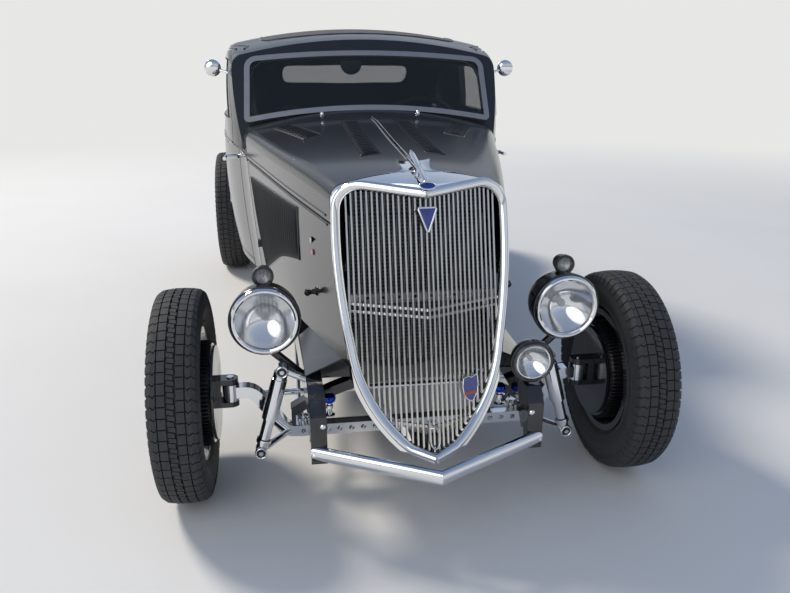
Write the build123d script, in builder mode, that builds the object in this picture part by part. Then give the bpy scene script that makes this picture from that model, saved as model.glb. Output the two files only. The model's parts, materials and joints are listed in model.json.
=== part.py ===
from build123d import *
from math import asin, cos, pi, sin
import os

os.makedirs("parts", exist_ok=True)

# A fenderless steel coupe in millimetres. It faces -Y, its left side is +X, and the floor is z = 0.
# Lengthwise places are stations: millimetres behind the front axle.
wheelbase = 2844
front_axle_y = -1420
front_tip_station = -539.4
rear_tip_station = 3381


def at(station):
    return front_axle_y + station


# Wheels and tyres
front_half_track = 729
front_tyre_radius = 342
front_tyre_width = 151
rear_half_track = 740
rear_tyre_radius = 388
rear_tyre_width = 190
front_rim_width = 115
rear_rim_width = 150
rim_radius = 203
rim_lip = 12
rim_wall = 9
hub_radius = 52
hub_bore = 22
spindle_clearance = 0.05
drum_radius = 160
drum_depth = 58
drum_inset = 86
fit_gap = 0.3

# Front axle and steering
kingpin_x = 590
kingpin_radius = 11
axle_beam_z = 190
axle_beam_height = 38
axle_beam_depth = 42
axle_drop_start = 415
axle_drop_end = 520
axle_boss_radius = 27
axle_boss_half = 29
axle_hole_radius = 9
axle_hole_pitch = 40
axle_hole_count = 19
ear_height = 17
ear_gap = 2
ear_radius = 25
backing_plate_radius = 152
backing_plate_thickness = 8
steering_arm_length = 135
tie_rod_z = 262
tie_rod_radius = 11
ball_stud_radius = 8
open_pivot_clearance = 1.5

# Frame
rail_height = 105
rail_width = 48
rail_side_path = [(-322, 330), (-240, 410), (-60, 415), (950, 378), (2330, 378), (2600, 545), (3060, 545), (3225, 520)]
rail_plan_path = [(-345, 322), (0, 336), (950, 372), (1900, 425), (2600, 425), (3300, 378)]
rail_bend = 60
horn_inner_x = 299
horn_width = 47
horn_outline = [(-346, 250), (-322, 250), (-300, 330), (-235, 400), (-235, 443), (-312, 443), (-346, 400)]
# station, inner edge x and z, outer edge x and z
apron_sections = [(-196, 236, 516, 352, 463), (150, 322, 496, 360, 463)]
apron_thickness = 4
front_member_size = (110, 70)
front_member_z = 428
center_member_station = 1560
center_member_size = (90, 33)
center_member_z = 309
center_member_rest_z = 325.5
rail_inner_x = 379
rear_member_station = 3050
rear_member_size = (60, 70)

# Hood, grille and nose
rake = 0.286
vee = 0.42
nose_station = -246
nose_z = 1000
hood_front_station = -122
hood_rear_station = 1000
firewall_rear = 1010
hood_wall = 8
panel_gap = 6
hinge_gap = 8
hood_hinge_radius = 4.7
hood_hinge_front = (-136, 1060)
hood_hinge_rear = (1012, 1132)
side_tab_z = 585
side_tab_height = 30
bead_front_z = 924
bead_rear_z = 965
hood_side_bottom_front = 520
hood_side_bottom_rear = 446
grille_bar_pitch = 14.5
grille_bar_width = 5
grille_bar_depth = 14
grille_bar_recess = 12
grille_bars_each_side = 15
grille_strip_height = 7
grille_strips_z = (672, 692, 372)

# Body walls
side_wall = 45
upper_wall = 30
roof_wall = 22
belt_z = 1100
door_front = 1195
door_rear = 2060
door_bottom = 470
door_gap = 6
door_hinge_x = 694
door_hinge_station = 2063
door_hinge_heights = (620, 960)
hinge_radius = 7
hinge_knuckle_half = 32
hinge_pin_radius = 3.5
body_rear_station = 3330
deck_front = 2640
deck_half = 420
deck_gap = 5
deck_bottom_station = 3285
deck_hinge_x = 150
deck_hinge_station = 2637.5
deck_hinge_z = 1095
deck_pin_radius = 4
deck_knuckle_radius = 8
deck_knuckle_half = 12
deck_knuckle_end = 30
deck_knuckle_room = 1.5
deck_leaf = 34
arch_radius = 432
tub_wall = 8
tub_inner_x = 515
floor_thickness = 8
floor_z = 452

# Windscreen
screen_foot_station = 1113
screen_foot_z = 1119
screen_slope = 0.529
screen_frame_depth = 16
screen_frame_width = 24
screen_half = 551
screen_bottom = -24
screen_bottom_crown = 34
screen_side_top = 286
screen_top_crown = 320
header_depth = 54
header_rounding = 26
glass_thickness = 6

# Lamps
headlamp_x = 463
headlamp_station = -122
headlamp_z = 638
headlamp_radius = 102
headlamp_depth = 150
headlamp_face_station = -170
signal_radius = 27
driving_lamp = (319, -300, 516)
driving_lamp_radius = 62
driving_lamp_depth = 78
tail_lamp_x = 340
tail_lamp_z = 619
tail_lamp_radius = 38

# Bumper bars
bar_height = 43
bar_depth = 22
front_bar_z = 286
front_bar_half = 342
front_bar_end_station = -339
front_bar_tip_station = front_tip_station + bar_depth / 2
bracket_thickness = 12
rear_bar_half = 470
rear_bar_z = 508
rear_bracket_x = 386
shock_top = (421, -150, 472)
shock_bottom = (497, -150, 202)
shock_radius = 22
rod_radius = 9


def hand_over(piece, name):
    piece.label = name
    export_step(piece, f"parts/{name}.step")


def both_sides(piece, name):
    """The left piece as built, and its mirror image on the right."""
    hand_over(piece, f"{name}_left")
    with BuildPart() as right_piece:
        mirror(piece, about=Plane.YZ)
    hand_over(right_piece.part, f"{name}_right")


def hull_section(station, bottom_half, waist_half, belt_half, bottom_z, waist_z, top_z, crown_z, corner):
    """One cross-section of the body or hood, with a crowned top and rounded upper corners."""
    with BuildSketch(Plane.XZ.offset(-at(station))) as section:
        with BuildLine():
            Line((-bottom_half, bottom_z), (bottom_half, bottom_z))
            ThreePointArc((bottom_half, bottom_z), (waist_half, waist_z), (belt_half, top_z))
            ThreePointArc((belt_half, top_z), (0, crown_z), (-belt_half, top_z))
            ThreePointArc((-belt_half, top_z), (-waist_half, waist_z), (-bottom_half, bottom_z))
        make_face()
        fillet(section.vertices().sort_by(Axis.Y)[-2:], corner)
    return section.sketch


def hull_sections(table, side_inset, top_inset, drop):
    """Sections of a table, drawn in by a wall at the sides and top, with the floor dropped."""
    sections = []
    for station, bottom_half, waist_half, belt_half, bottom_z, waist_z, top_z, crown_z, corner in table:
        sections.append(hull_section(station, bottom_half - side_inset, waist_half - side_inset,
                                     belt_half - side_inset, bottom_z - drop, waist_z - top_inset / 2,
                                     top_z - top_inset, crown_z - top_inset,
                                     max(corner - top_inset / 2, 10)))
    return sections


# station, half-widths at bottom, waist and top, heights of bottom, waist and top, crown, corner radius
hood_table = [
    (-480, 170, 184, 178, 200, 680, 920, 945, 34),
    (-246, 214, 236, 231, 260, 700, 994, 1034, 46),
    (-60, 262, 283, 279, 300, 700, 1024, 1064, 50),
    (450, 384, 406, 412, 380, 720, 1052, 1095, 50),
    (hood_rear_station, 500, 530, 546, 440, 760, 1078, 1127, 48),
]
lower_table = [
    (hood_rear_station, 500, 530, 546, 440, 760, 1078, 1127, 48),
    (1150, 530, 562, 574, 436, 760, 1088, 1160, 44),
    (1450, 604, 646, 648, 430, 760, 1092, 1150, 25),
    (1850, 640, 684, 672, 430, 760, 1095, 1150, 25),
    (2350, 634, 668, 640, 440, 760, 1088, 1150, 30),
    (2844, 584, 612, 580, 470, 740, 950, 1015, 60),
    (3120, 510, 530, 498, 520, 700, 795, 850, 50),
    (body_rear_station, 420, 430, 400, 570, 615, 640, 668, 18),
]
upper_table = [
    (1060, 560, 554, 538, 1000, 1150, 1318, 1356, 38),
    (1480, 656, 650, 626, 1000, 1250, 1420, 1492, 70),
    (1800, 668, 662, 640, 1000, 1250, 1440, 1519, 75),
    (2080, 656, 648, 620, 1000, 1220, 1400, 1486, 75),
    (2330, 622, 606, 560, 1000, 1170, 1286, 1360, 70),
    (2600, 580, 560, 500, 1000, 1030, 1060, 1095, 20),
]


def hull(table, side_inset=0, top_inset=0, drop=0):
    with BuildPart() as solid:
        loft(sections=hull_sections(table, side_inset, top_inset, drop))
    return solid.part


def side_prism(points, x_from, x_to, radius=0):
    """A prism along X from an outline given as station and height pairs."""
    with BuildPart() as prism:
        with BuildSketch(Plane.YZ.offset(x_from)) as outline:
            with BuildLine():
                Polyline(*[(at(station), height) for station, height in points], close=True)
            make_face()
            if radius:
                fillet(outline.vertices(), radius)
        extrude(amount=x_to - x_from)
    return prism.part


def block(x_from, x_to, station_from, station_to, z_from, z_to):
    with BuildPart() as cuboid:
        with BuildSketch(Plane.XY.offset(z_from)):
            with Locations(((x_from + x_to) / 2, at((station_from + station_to) / 2))):
                Rectangle(x_to - x_from, station_to - station_from)
        extrude(amount=z_to - z_from)
    return cuboid.part


def rod(start, end, radius):
    """A round bar between two points given as x, station, z."""
    first = Vector(start[0], at(start[1]), start[2])
    last = Vector(end[0], at(end[1]), end[2])
    with BuildPart() as bar:
        with BuildSketch(Plane(origin=first, z_dir=last - first)):
            Circle(radius)
        extrude(amount=(last - first).length)
    return bar.part


# Hollow body: outer forms less inner forms
hood_outer = hull(hood_table)
hood_inner = hull(hood_table, hood_wall, hood_wall, 60)
lower_outer = hull(lower_table)
lower_inner = hull(lower_table, side_wall, roof_wall, 60)
screen_top_z = 1600
screen_cut = side_prism([
    (900, 990),
    (screen_foot_station + screen_slope * (990 - screen_foot_z), 990),
    (screen_foot_station + screen_slope * (screen_top_z - screen_foot_z), screen_top_z),
    (900, screen_top_z),
], -900, 900)


def behind_screen(form):
    with BuildPart() as cut_form:
        add(form)
        add(screen_cut, mode=Mode.SUBTRACT)
    return cut_form.part


# The windscreen's outline, drawn in its own raked plane
screen_plane = Plane(origin=(0, at(screen_foot_station), screen_foot_z), x_dir=(1, 0, 0),
                     z_dir=(0, -1, screen_slope))
with BuildSketch(screen_plane) as screen_form:
    with BuildLine():
        ThreePointArc((-screen_half, screen_bottom), (0, screen_bottom_crown), (screen_half, screen_bottom))
        Line((screen_half, screen_bottom), (screen_half - 10, screen_side_top))
        ThreePointArc((screen_half - 10, screen_side_top), (0, screen_top_crown),
                      (10 - screen_half, screen_side_top))
        Line((10 - screen_half, screen_side_top), (-screen_half, screen_bottom))
    make_face()
    fillet(screen_form.vertices().sort_by(Axis.Y)[-2:], 58)
    fillet(screen_form.vertices().sort_by(Axis.Y)[:2], 22)
screen_outline = screen_form.sketch_local

# The cabin's upper form has a rounded front edge, and its hollow starts a header's depth behind the screen
with BuildPart() as upper_outer:
    add(behind_screen(hull(upper_table)))
    fillet(upper_outer.faces().sort_by(Axis.Y)[0].edges().sort_by(Axis.Z)[1:], header_rounding)
with BuildPart() as upper_inner:
    add(hull(upper_table, upper_wall, roof_wall, 0))
    add(Pos(0, header_depth, 0) * screen_cut, mode=Mode.SUBTRACT)
with BuildPart() as screen_hole:
    with BuildSketch(screen_plane.offset(-header_depth)):
        add(screen_outline)
        offset(amount=screen_frame_width / 3 - screen_frame_width, mode=Mode.REPLACE)
    extrude(amount=header_depth + 2)

door_outline = [
    (door_front, door_bottom), (door_front, belt_z + 10), (1330, 1398), (1400, 1412),
    (1980, 1412), (door_rear, 1330), (door_rear, door_bottom),
]
door_corner = 30
window_outline = [(1262, belt_z + 22), (1376, 1368), (1975, 1375), (2000, 1340), (2000, belt_z + 22)]
door_prism = side_prism(door_outline, 300, 800, 12)
window_prism = side_prism(window_outline, 300, 800, 18)
with BuildPart() as door_hole:
    with BuildSketch(Plane.YZ.offset(300)) as hole_outline:
        with BuildLine():
            Polyline(*[(at(station), height) for station, height in door_outline], close=True)
        make_face()
        offset(amount=door_gap, kind=Kind.INTERSECTION, mode=Mode.REPLACE)
    extrude(amount=500)

with BuildPart() as shell:
    add(lower_outer)
    add(upper_outer.part)
    add(lower_inner, mode=Mode.SUBTRACT)
    add(upper_inner.part, mode=Mode.SUBTRACT)
    add(screen_hole.part, mode=Mode.SUBTRACT)
with BuildPart() as door_blank:
    add(shell.part)
    add(door_prism, mode=Mode.INTERSECT)
with BuildPart() as open_shell:
    add(shell.part)
    add(door_hole.part, mode=Mode.SUBTRACT)
    mirror(door_hole.part, about=Plane.YZ, mode=Mode.SUBTRACT)

# Doors: a full thickness panel with its window cut
with BuildPart() as door:
    add(door_blank.part)
    add(window_prism, mode=Mode.SUBTRACT)
both_sides(door.part, "door")
with BuildPart() as door_glass:
    add(door_blank.part)
    add(window_prism, mode=Mode.INTERSECT)
    add(hull(upper_table, 14, 0), mode=Mode.INTERSECT)
    add(hull(upper_table, 14 + glass_thickness, 0), mode=Mode.SUBTRACT)
both_sides(door_glass.part, "door_glass")

# Cowl with its firewall
cowl_rear = door_front - door_gap - 2
with BuildPart() as cowl_top:
    add(open_shell.part)
    add(block(-900, 900, hood_rear_station, cowl_rear, belt_z, belt_z + 90), mode=Mode.INTERSECT)
    add(screen_cut, mode=Mode.INTERSECT)
with BuildPart() as firewall:
    add(block(-600, 600, hood_rear_station + 2, firewall_rear, floor_z + floor_thickness, belt_z))
    add(lower_inner, mode=Mode.INTERSECT)
with BuildPart() as cowl:
    add(open_shell.part)
    add(block(-900, 900, hood_rear_station, cowl_rear, 300, belt_z), mode=Mode.INTERSECT)
    add(cowl_top.part)
    add(firewall.part)
hand_over(cowl.part, "cowl")

# Roof with the windscreen pillars, the sail panels and the rear window opening
rear_window_half = 372
rear_window_low = 1232
rear_window_high = 1338
roof_insert_front = 1450
roof_insert_rear = 2040
roof_insert_half = 470
with BuildPart() as insert_prism:
    with BuildSketch(Plane.XY.offset(1300)):
        with Locations((0, at((roof_insert_front + roof_insert_rear) / 2))):
            RectangleRounded(2 * roof_insert_half, roof_insert_rear - roof_insert_front, 90)
    extrude(amount=400)
with BuildPart() as rear_window_prism:
    with BuildSketch(Plane.XZ.offset(-at(2250))):
        with Locations((0, (rear_window_low + rear_window_high) / 2)):
            RectangleRounded(2 * rear_window_half, rear_window_high - rear_window_low, 45)
    extrude(amount=-400)
with BuildPart() as upper_shell:
    add(open_shell.part)
    add(block(-900, 900, 1000, 2900, belt_z, 1700), mode=Mode.INTERSECT)
    add(cowl.part, mode=Mode.SUBTRACT)
with BuildPart() as deck_strip:
    add(open_shell.part)
    add(block(-deck_half - deck_gap, deck_half + deck_gap, 2400, deck_front - deck_gap, 900, belt_z),
        mode=Mode.INTERSECT)


def deck_axis_rod(x_from, x_to, radius):
    """A round bar on the deck lid's hinge axis."""
    return rod((min(x_from, x_to), deck_hinge_station, deck_hinge_z),
               (max(x_from, x_to), deck_hinge_station, deck_hinge_z), radius)


# Deck hinges: a middle knuckle and a pin on the body, and an outer knuckle each side on the lid
deck_edge = deck_front - deck_hinge_station
with BuildPart() as deck_hinges:
    for side in (-1, 1):
        middle = side * deck_hinge_x
        add(deck_axis_rod(middle - deck_knuckle_end, middle + deck_knuckle_end, deck_pin_radius))
        add(deck_axis_rod(middle - deck_knuckle_half, middle + deck_knuckle_half, deck_knuckle_radius))
        add(block(middle - deck_knuckle_half, middle + deck_knuckle_half, deck_hinge_station - deck_leaf,
                  deck_hinge_station - deck_edge, deck_hinge_z - 26, deck_hinge_z + 3))
with BuildPart() as lid_knuckles:
    for middle in (-deck_hinge_x, deck_hinge_x):
        for end in (-1, 1):
            near = middle + end * (deck_knuckle_half + 1)
            far = middle + end * deck_knuckle_end
            add(deck_axis_rod(near, far, deck_knuckle_radius))
            add(block(min(near, far), max(near, far), deck_hinge_station + deck_edge,
                      deck_hinge_station + deck_leaf, deck_hinge_z - 26, deck_hinge_z + 3))
with BuildPart() as roof:
    add(upper_shell.part)
    add(insert_prism.part, mode=Mode.SUBTRACT)
    add(rear_window_prism.part, mode=Mode.SUBTRACT)
    add(deck_strip.part)
    for middle in (-deck_hinge_x, deck_hinge_x):
        add(deck_axis_rod(middle - deck_knuckle_end - 2, middle + deck_knuckle_end + 2,
                          deck_knuckle_radius + deck_knuckle_room), mode=Mode.SUBTRACT)
    add(deck_hinges.part)
hand_over(roof.part, "roof")
with BuildPart() as roof_insert:
    add(upper_shell.part)
    add(insert_prism.part, mode=Mode.INTERSECT)
hand_over(roof_insert.part, "roof_insert")


# Glass: the windscreen pane and the rear pane share a node
with BuildPart() as screen_frame:
    with BuildSketch(screen_plane):
        add(screen_outline)
        offset(amount=-screen_frame_width, mode=Mode.SUBTRACT)
    extrude(amount=screen_frame_depth)
    add(lower_outer, mode=Mode.SUBTRACT)
hand_over(screen_frame.part, "windscreen_frame")
with BuildPart() as glass:
    with BuildSketch(screen_plane.offset(4)):
        add(screen_outline)
        offset(amount=-screen_frame_width - fit_gap, mode=Mode.REPLACE)
    extrude(amount=glass_thickness)
    add(lower_outer, mode=Mode.SUBTRACT)
with BuildPart() as rear_glass:
    add(upper_shell.part)
    with BuildSketch(Plane.XZ.offset(-at(2250))):
        with Locations((0, (rear_window_low + rear_window_high) / 2)):
            RectangleRounded(2 * (rear_window_half - fit_gap), rear_window_high - rear_window_low - 2 * fit_gap, 44)
    extrude(amount=-400, mode=Mode.INTERSECT)
    add(hull(upper_table, 7, 7), mode=Mode.INTERSECT)
with BuildPart() as fixed_glass:
    add(glass.part)
    add(rear_glass.part)
hand_over(fixed_glass.part, "fixed_glass")

# Lower body behind the doors: quarters with wheel tubs, deck lid and tail panel
deck_prism = block(-deck_half, deck_half, deck_front, deck_bottom_station, 620, 1300)
deck_hole = block(-deck_half - deck_gap, deck_half + deck_gap, deck_front - deck_gap,
                  deck_bottom_station + deck_gap, 620 - deck_gap, 1300)
with BuildPart() as lower_shell:
    add(open_shell.part)
    add(block(-900, 900, 1200, 3500, 300, belt_z), mode=Mode.INTERSECT)
with BuildPart() as deck_lid:
    add(lower_shell.part)
    add(deck_prism, mode=Mode.INTERSECT)
    for middle in (-deck_hinge_x, deck_hinge_x):
        add(deck_axis_rod(middle - deck_knuckle_half - 1, middle + deck_knuckle_half + 1,
                          deck_knuckle_radius + deck_knuckle_room), mode=Mode.SUBTRACT)
    add(lid_knuckles.part)
    for middle in (-deck_hinge_x, deck_hinge_x):
        add(deck_axis_rod(middle - deck_knuckle_end - 1, middle + deck_knuckle_end + 1,
                          deck_pin_radius + fit_gap), mode=Mode.SUBTRACT)
hand_over(deck_lid.part, "deck_lid")
rear_axle_plane = Plane.YZ.offset(tub_inner_x)
arch_centre = (at(wheelbase), rear_tyre_radius)
with BuildPart() as tub:
    with BuildSketch(rear_axle_plane):
        with Locations(arch_centre):
            Circle(arch_radius + tub_wall)
    extrude(amount=700 - tub_inner_x)
    with BuildSketch(rear_axle_plane.offset(tub_wall)):
        with Locations(arch_centre):
            Circle(arch_radius)
    extrude(amount=700 - tub_inner_x, mode=Mode.SUBTRACT)
    add(block(0, 900, 2000, 3500, -200, 470), mode=Mode.SUBTRACT)
    add(lower_outer, mode=Mode.INTERSECT)
with BuildPart() as quarter:
    add(lower_shell.part)
    add(block(deck_half + deck_gap, 900, 1200, 3500, 300, belt_z), mode=Mode.INTERSECT)
    with BuildSketch(Plane.YZ.offset(300)):
        with Locations(arch_centre):
            Circle(arch_radius)
    extrude(amount=600, mode=Mode.SUBTRACT)
    add(tub.part)
    for height in door_hinge_heights:
        for end in (-1, 1):
            inner_end = height + end * (hinge_knuckle_half + 1)
            outer_end = height + end * (hinge_knuckle_half + 12)
            add(rod((door_hinge_x, door_hinge_station, inner_end), (door_hinge_x, door_hinge_station, outer_end),
                    hinge_radius))
            add(block(668, door_hinge_x, door_hinge_station + 4, door_rear + 44, min(inner_end, outer_end),
                      max(inner_end, outer_end)))
        add(rod((door_hinge_x, door_hinge_station, height - hinge_knuckle_half - 2),
                (door_hinge_x, door_hinge_station, height + hinge_knuckle_half + 2), hinge_pin_radius))
        add(block(660, door_hinge_x - 8, door_rear + 14, door_rear + 44, height - hinge_knuckle_half - 12,
                  height + hinge_knuckle_half + 12))
both_sides(quarter.part, "quarter_panel")
with BuildPart() as tail:
    add(lower_shell.part)
    add(block(-deck_half - deck_gap, deck_half + deck_gap, deck_front, 3500, 300, belt_z), mode=Mode.INTERSECT)
    add(deck_hole, mode=Mode.SUBTRACT)
hand_over(tail.part, "tail_panel")

# Floor with a raised tunnel along the middle and a raised base under the seat
seat_front = 1640
seat_rear = 2300
seat_base_z = 562
boot_floor_front = 2335
boot_floor_rear = 3262
boot_floor_half = 500
boot_floor_z = 606
tunnel_half = 120
tunnel_rise = 110
with BuildPart() as floor_pan:
    with BuildSketch(Plane.XY.offset(floor_z)):
        with BuildLine():
            Polyline((-470, at(1012)), (470, at(1012)), (600, at(1450)), (600, at(boot_floor_front)),
                     (-600, at(boot_floor_front)), (-600, at(1450)), close=True)
        make_face()
    extrude(amount=floor_thickness)
    add(block(-tunnel_half, tunnel_half, 1012, boot_floor_front, floor_z, floor_z + tunnel_rise))
    add(block(-tunnel_half + 8, tunnel_half - 8, 1000, boot_floor_front + 20, floor_z - 10, floor_z + tunnel_rise - 8),
        mode=Mode.SUBTRACT)
    add(block(-boot_floor_half, boot_floor_half, boot_floor_front, boot_floor_rear, floor_z, boot_floor_z))
    add(block(-boot_floor_half - 20, boot_floor_half + 20, boot_floor_front + 8, boot_floor_rear + 20,
              floor_z - 10, boot_floor_z - 8), mode=Mode.SUBTRACT)
    add(block(-470, 470, seat_front, seat_rear, floor_z, seat_base_z))
    add(block(-462, 462, seat_front + 8, seat_rear - 8, floor_z - 10, seat_base_z - 8), mode=Mode.SUBTRACT)
    add(lower_inner, mode=Mode.INTERSECT)
hand_over(floor_pan.part, "floor_pan")

# Hood: two top halves on a centre hinge, and two fixed sides
hood_front_plane = [
    (hood_front_station + rake * (200 - nose_z), 200), (hood_front_station + rake * (1200 - nose_z), 1200),
    (hood_rear_station - panel_gap, 1200), (hood_rear_station - panel_gap, 200),
]
rear_limit = side_prism([(-600, 200), (-600, 1200), (hood_front_station + rake * (1200 - nose_z) - panel_gap, 1200),
                         (hood_front_station + rake * (200 - nose_z) - panel_gap, 200)], -500, 500)
with BuildPart() as hood_shell:
    add(hood_outer)
    add(hood_inner, mode=Mode.SUBTRACT)
    add(side_prism(hood_front_plane, -900, 900), mode=Mode.INTERSECT)
hood_bead = [(-400, bead_front_z - 15), (hood_rear_station, bead_rear_z)]
top_region = side_prism(hood_bead + [(hood_rear_station, 1300), (-400, 1300)], hinge_gap / 2, 900)
with BuildPart() as hood_half:
    add(hood_shell.part)
    add(top_region, mode=Mode.INTERSECT)
    add(rod((0, *hood_hinge_front), (0, *hood_hinge_rear), hood_hinge_radius + fit_gap), mode=Mode.SUBTRACT)
both_sides(hood_half.part, "hood")
side_region = side_prism([(-400, bead_front_z - 15 - panel_gap), (hood_rear_station, bead_rear_z - panel_gap),
                          (hood_rear_station, hood_side_bottom_rear), (-400, hood_side_bottom_front + 10)], 50, 900)
side_tab_station = hood_front_station + rake * (side_tab_z + side_tab_height / 2 - nose_z)
with BuildPart() as front_tab:
    add(block(218, 234, side_tab_station - 30, side_tab_station + 34, side_tab_z, side_tab_z + side_tab_height))
    add(rear_limit, mode=Mode.SUBTRACT)
with BuildPart() as hood_side:
    add(hood_shell.part)
    add(side_region, mode=Mode.INTERSECT)
    add(front_tab.part)
    add(block(498, 515, 950, hood_rear_station, side_tab_z, side_tab_z + side_tab_height))
with BuildPart() as hood_sides:
    add(hood_side.part)
    mirror(hood_side.part, about=Plane.YZ)
hand_over(hood_sides.part, "hood_sides")

# Grille shell: a raked, V-fronted surround, open inside
def vee_prism(setback_front, setback_back, z_from, z_to):
    """The space between two V-shaped raked surfaces, given by how far each lies behind the nose."""
    reach = 400
    with BuildPart() as slab:
        for height in (z_from, z_to):
            front = nose_station + setback_front + rake * (height - nose_z)
            back = nose_station + setback_back + rake * (height - nose_z)
            with BuildSketch(Plane.XY.offset(height)):
                with BuildLine():
                    Polyline((-reach, at(front + vee * reach)), (0, at(front)), (reach, at(front + vee * reach)),
                             (reach, at(back + vee * reach)), (0, at(back)), (-reach, at(back + vee * reach)),
                             close=True)
                make_face()
        loft(ruled=True)
    return slab.part


def spade(points, crown_z, bottom_z, shoulder_radius, shrink=0):
    """The grille outline seen from in front, as an extrusion along the car."""
    with BuildPart() as form:
        with BuildSketch(Plane.XZ.offset(-at(200))) as outline:
            with BuildLine():
                shoulder, widest, waist, hip, heel = points
                for side in (1, -1):
                    Line((0, crown_z), (side * shoulder[0], shoulder[1]))
                    ThreePointArc((side * shoulder[0], shoulder[1]), (side * widest[0], widest[1]),
                                  (side * waist[0], waist[1]))
                    ThreePointArc((side * waist[0], waist[1]), (side * hip[0], hip[1]), (side * heel[0], heel[1]))
                    Line((side * heel[0], heel[1]), (0, bottom_z))
            make_face()
            shoulders = [v for v in outline.vertices() if abs(abs(v.X) - shoulder[0]) < 1 and abs(v.Y - shoulder[1]) < 1]
            fillet(shoulders, shoulder_radius)
            if shrink:
                offset(amount=-shrink, mode=Mode.REPLACE)
        extrude(amount=900)
    return form.part


outer_points = [(266, 1100), (264, 850), (243, 600), (196, 428), (96, 310)]
inner_points = [(236, 1025), (237, 850), (206, 580), (152, 428), (60, 330)]
inner_shoulder_radius = 64
outer_spade = spade(outer_points, 1150, 295, 20)
inner_spade = spade(inner_points, 1005, 312, inner_shoulder_radius)
inner_spade_fit = spade(inner_points, 1005, 312, inner_shoulder_radius, fit_gap)
front_space = vee_prism(0, 900, 200, 1200)
with BuildPart() as grille_shell:
    add(hood_outer)
    add(outer_spade, mode=Mode.INTERSECT)
    add(rear_limit, mode=Mode.INTERSECT)
    add(front_space, mode=Mode.INTERSECT)
    add(inner_spade, mode=Mode.SUBTRACT)
hand_over(grille_shell.part, "grille_shell")

# The rod along the middle of the hood, on which both halves turn
with BuildPart() as hood_hinge:
    add(rod((0, *hood_hinge_front), (0, *hood_hinge_rear), hood_hinge_radius))
    add(grille_shell.part, mode=Mode.SUBTRACT)
    add(cowl.part, mode=Mode.SUBTRACT)
hand_over(hood_hinge.part, "hood_hinge")

with BuildPart() as bar_comb:
    for number in range(-grille_bars_each_side, grille_bars_each_side + 1):
        centre = number * grille_bar_pitch
        lean_low = rake * (290 - nose_z)
        lean_high = rake * (1030 - nose_z)
        front = nose_station + grille_bar_recess + vee * abs(centre)
        with BuildSketch(Plane.YZ.offset(centre - grille_bar_width / 2)):
            with BuildLine():
                Polyline((at(front + lean_low), 290), (at(front + lean_high), 1030),
                         (at(front + grille_bar_depth + lean_high), 1030),
                         (at(front + grille_bar_depth + lean_low), 290), close=True)
            make_face()
        extrude(amount=grille_bar_width)
strip_setback = grille_bar_recess + grille_bar_depth
with BuildPart() as strips:
    for height in grille_strips_z:
        add(vee_prism(strip_setback - 1, strip_setback + 5, height, height + grille_strip_height))
with BuildPart() as grille_bars:
    add(bar_comb.part)
    add(strips.part)
    add(inner_spade_fit, mode=Mode.INTERSECT)
hand_over(grille_bars.part, "grille_bars")

# Front bumper bar: a shallow V, seated against the front horns of the frame
def bar_path(points, height, depth, z):
    with BuildPart() as bar:
        with BuildSketch(Plane.XY.offset(z - height / 2)):
            with BuildLine():
                Polyline(*points)
            trace(line_width=depth)
        extrude(amount=height)
        fillet(bar.edges().filter_by(Axis.Z, reverse=True), depth / 2 - 0.6)
    return bar.part


front_bar_points = [(-front_bar_half, at(front_bar_end_station)), (0, at(front_bar_tip_station)),
                    (front_bar_half, at(front_bar_end_station))]
front_bar = bar_path(front_bar_points, bar_height, bar_depth, front_bar_z)


# Frame: two side rails kicked up over the rear axle, with a horn down to the bar, and three cross members
def frame_rail():
    with BuildPart() as side_view:
        with BuildSketch(Plane.YZ.offset(200)):
            with BuildLine() as side_line:
                FilletPolyline(*[(at(station), height) for station, height in rail_side_path], radius=rail_bend)
            trace(line_width=rail_height)
        extrude(amount=400)
    with BuildPart() as rail:
        with BuildSketch(Plane.XY):
            with BuildLine() as plan_line:
                FilletPolyline(*[(half, at(station)) for station, half in rail_plan_path], radius=400)
            trace(line_width=rail_width)
        extrude(amount=900)
        add(side_view.part, mode=Mode.INTERSECT)
        add(side_prism(horn_outline, horn_inner_x, horn_inner_x + horn_width, 6))
        add(front_bar, mode=Mode.SUBTRACT)
    return rail.part


rail_left = frame_rail()
both_sides(rail_left, "frame_rail")
rail_pair = [rail_left, mirror(rail_left, about=Plane.YZ)]
member_rows = [
    (0, front_member_z, front_member_size),
    (center_member_station, center_member_z, center_member_size),
    (rear_member_station, 545, rear_member_size),
]
with BuildPart() as cross_members:
    for station, height, (depth, rise) in member_rows:
        with Locations((0, at(station), height)):
            Box(820, depth, rise)
    for side in (-1, 1):
        add(block(min(side * rail_inner_x, side * 500), max(side * rail_inner_x, side * 500), center_member_station - 60,
                  center_member_station + 60, 200, center_member_rest_z), mode=Mode.SUBTRACT)
        add(block(min(side * 340, side * 400), max(side * 340, side * 400), center_member_station - 45,
                  center_member_station + 45, center_member_rest_z, center_member_rest_z + 50))
    for rail in rail_pair:
        add(rail, mode=Mode.SUBTRACT)
with BuildPart() as trimmed_members:
    for solid in cross_members.part.solids():
        if abs(solid.center().X) < 100:
            add(solid)
hand_over(trimmed_members.part, "cross_members")

# Splash aprons: a sloping panel each side from the foot of the hood side out to the top of the rail
with BuildPart() as apron:
    for station, inner_x, inner_z, outer_x, outer_z in apron_sections:
        with BuildSketch(Plane.XZ.offset(-at(station))):
            with BuildLine():
                Polyline((inner_x, inner_z), (outer_x, outer_z), (outer_x, outer_z + apron_thickness),
                         (inner_x, inner_z + apron_thickness), close=True)
            make_face()
    loft(ruled=True)
    add(hood_sides.part, mode=Mode.SUBTRACT)
    add(rail_left, mode=Mode.SUBTRACT)
with BuildPart() as splash_aprons:
    add(apron.part)
    mirror(apron.part, about=Plane.YZ)
hand_over(splash_aprons.part, "splash_aprons")

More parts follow.
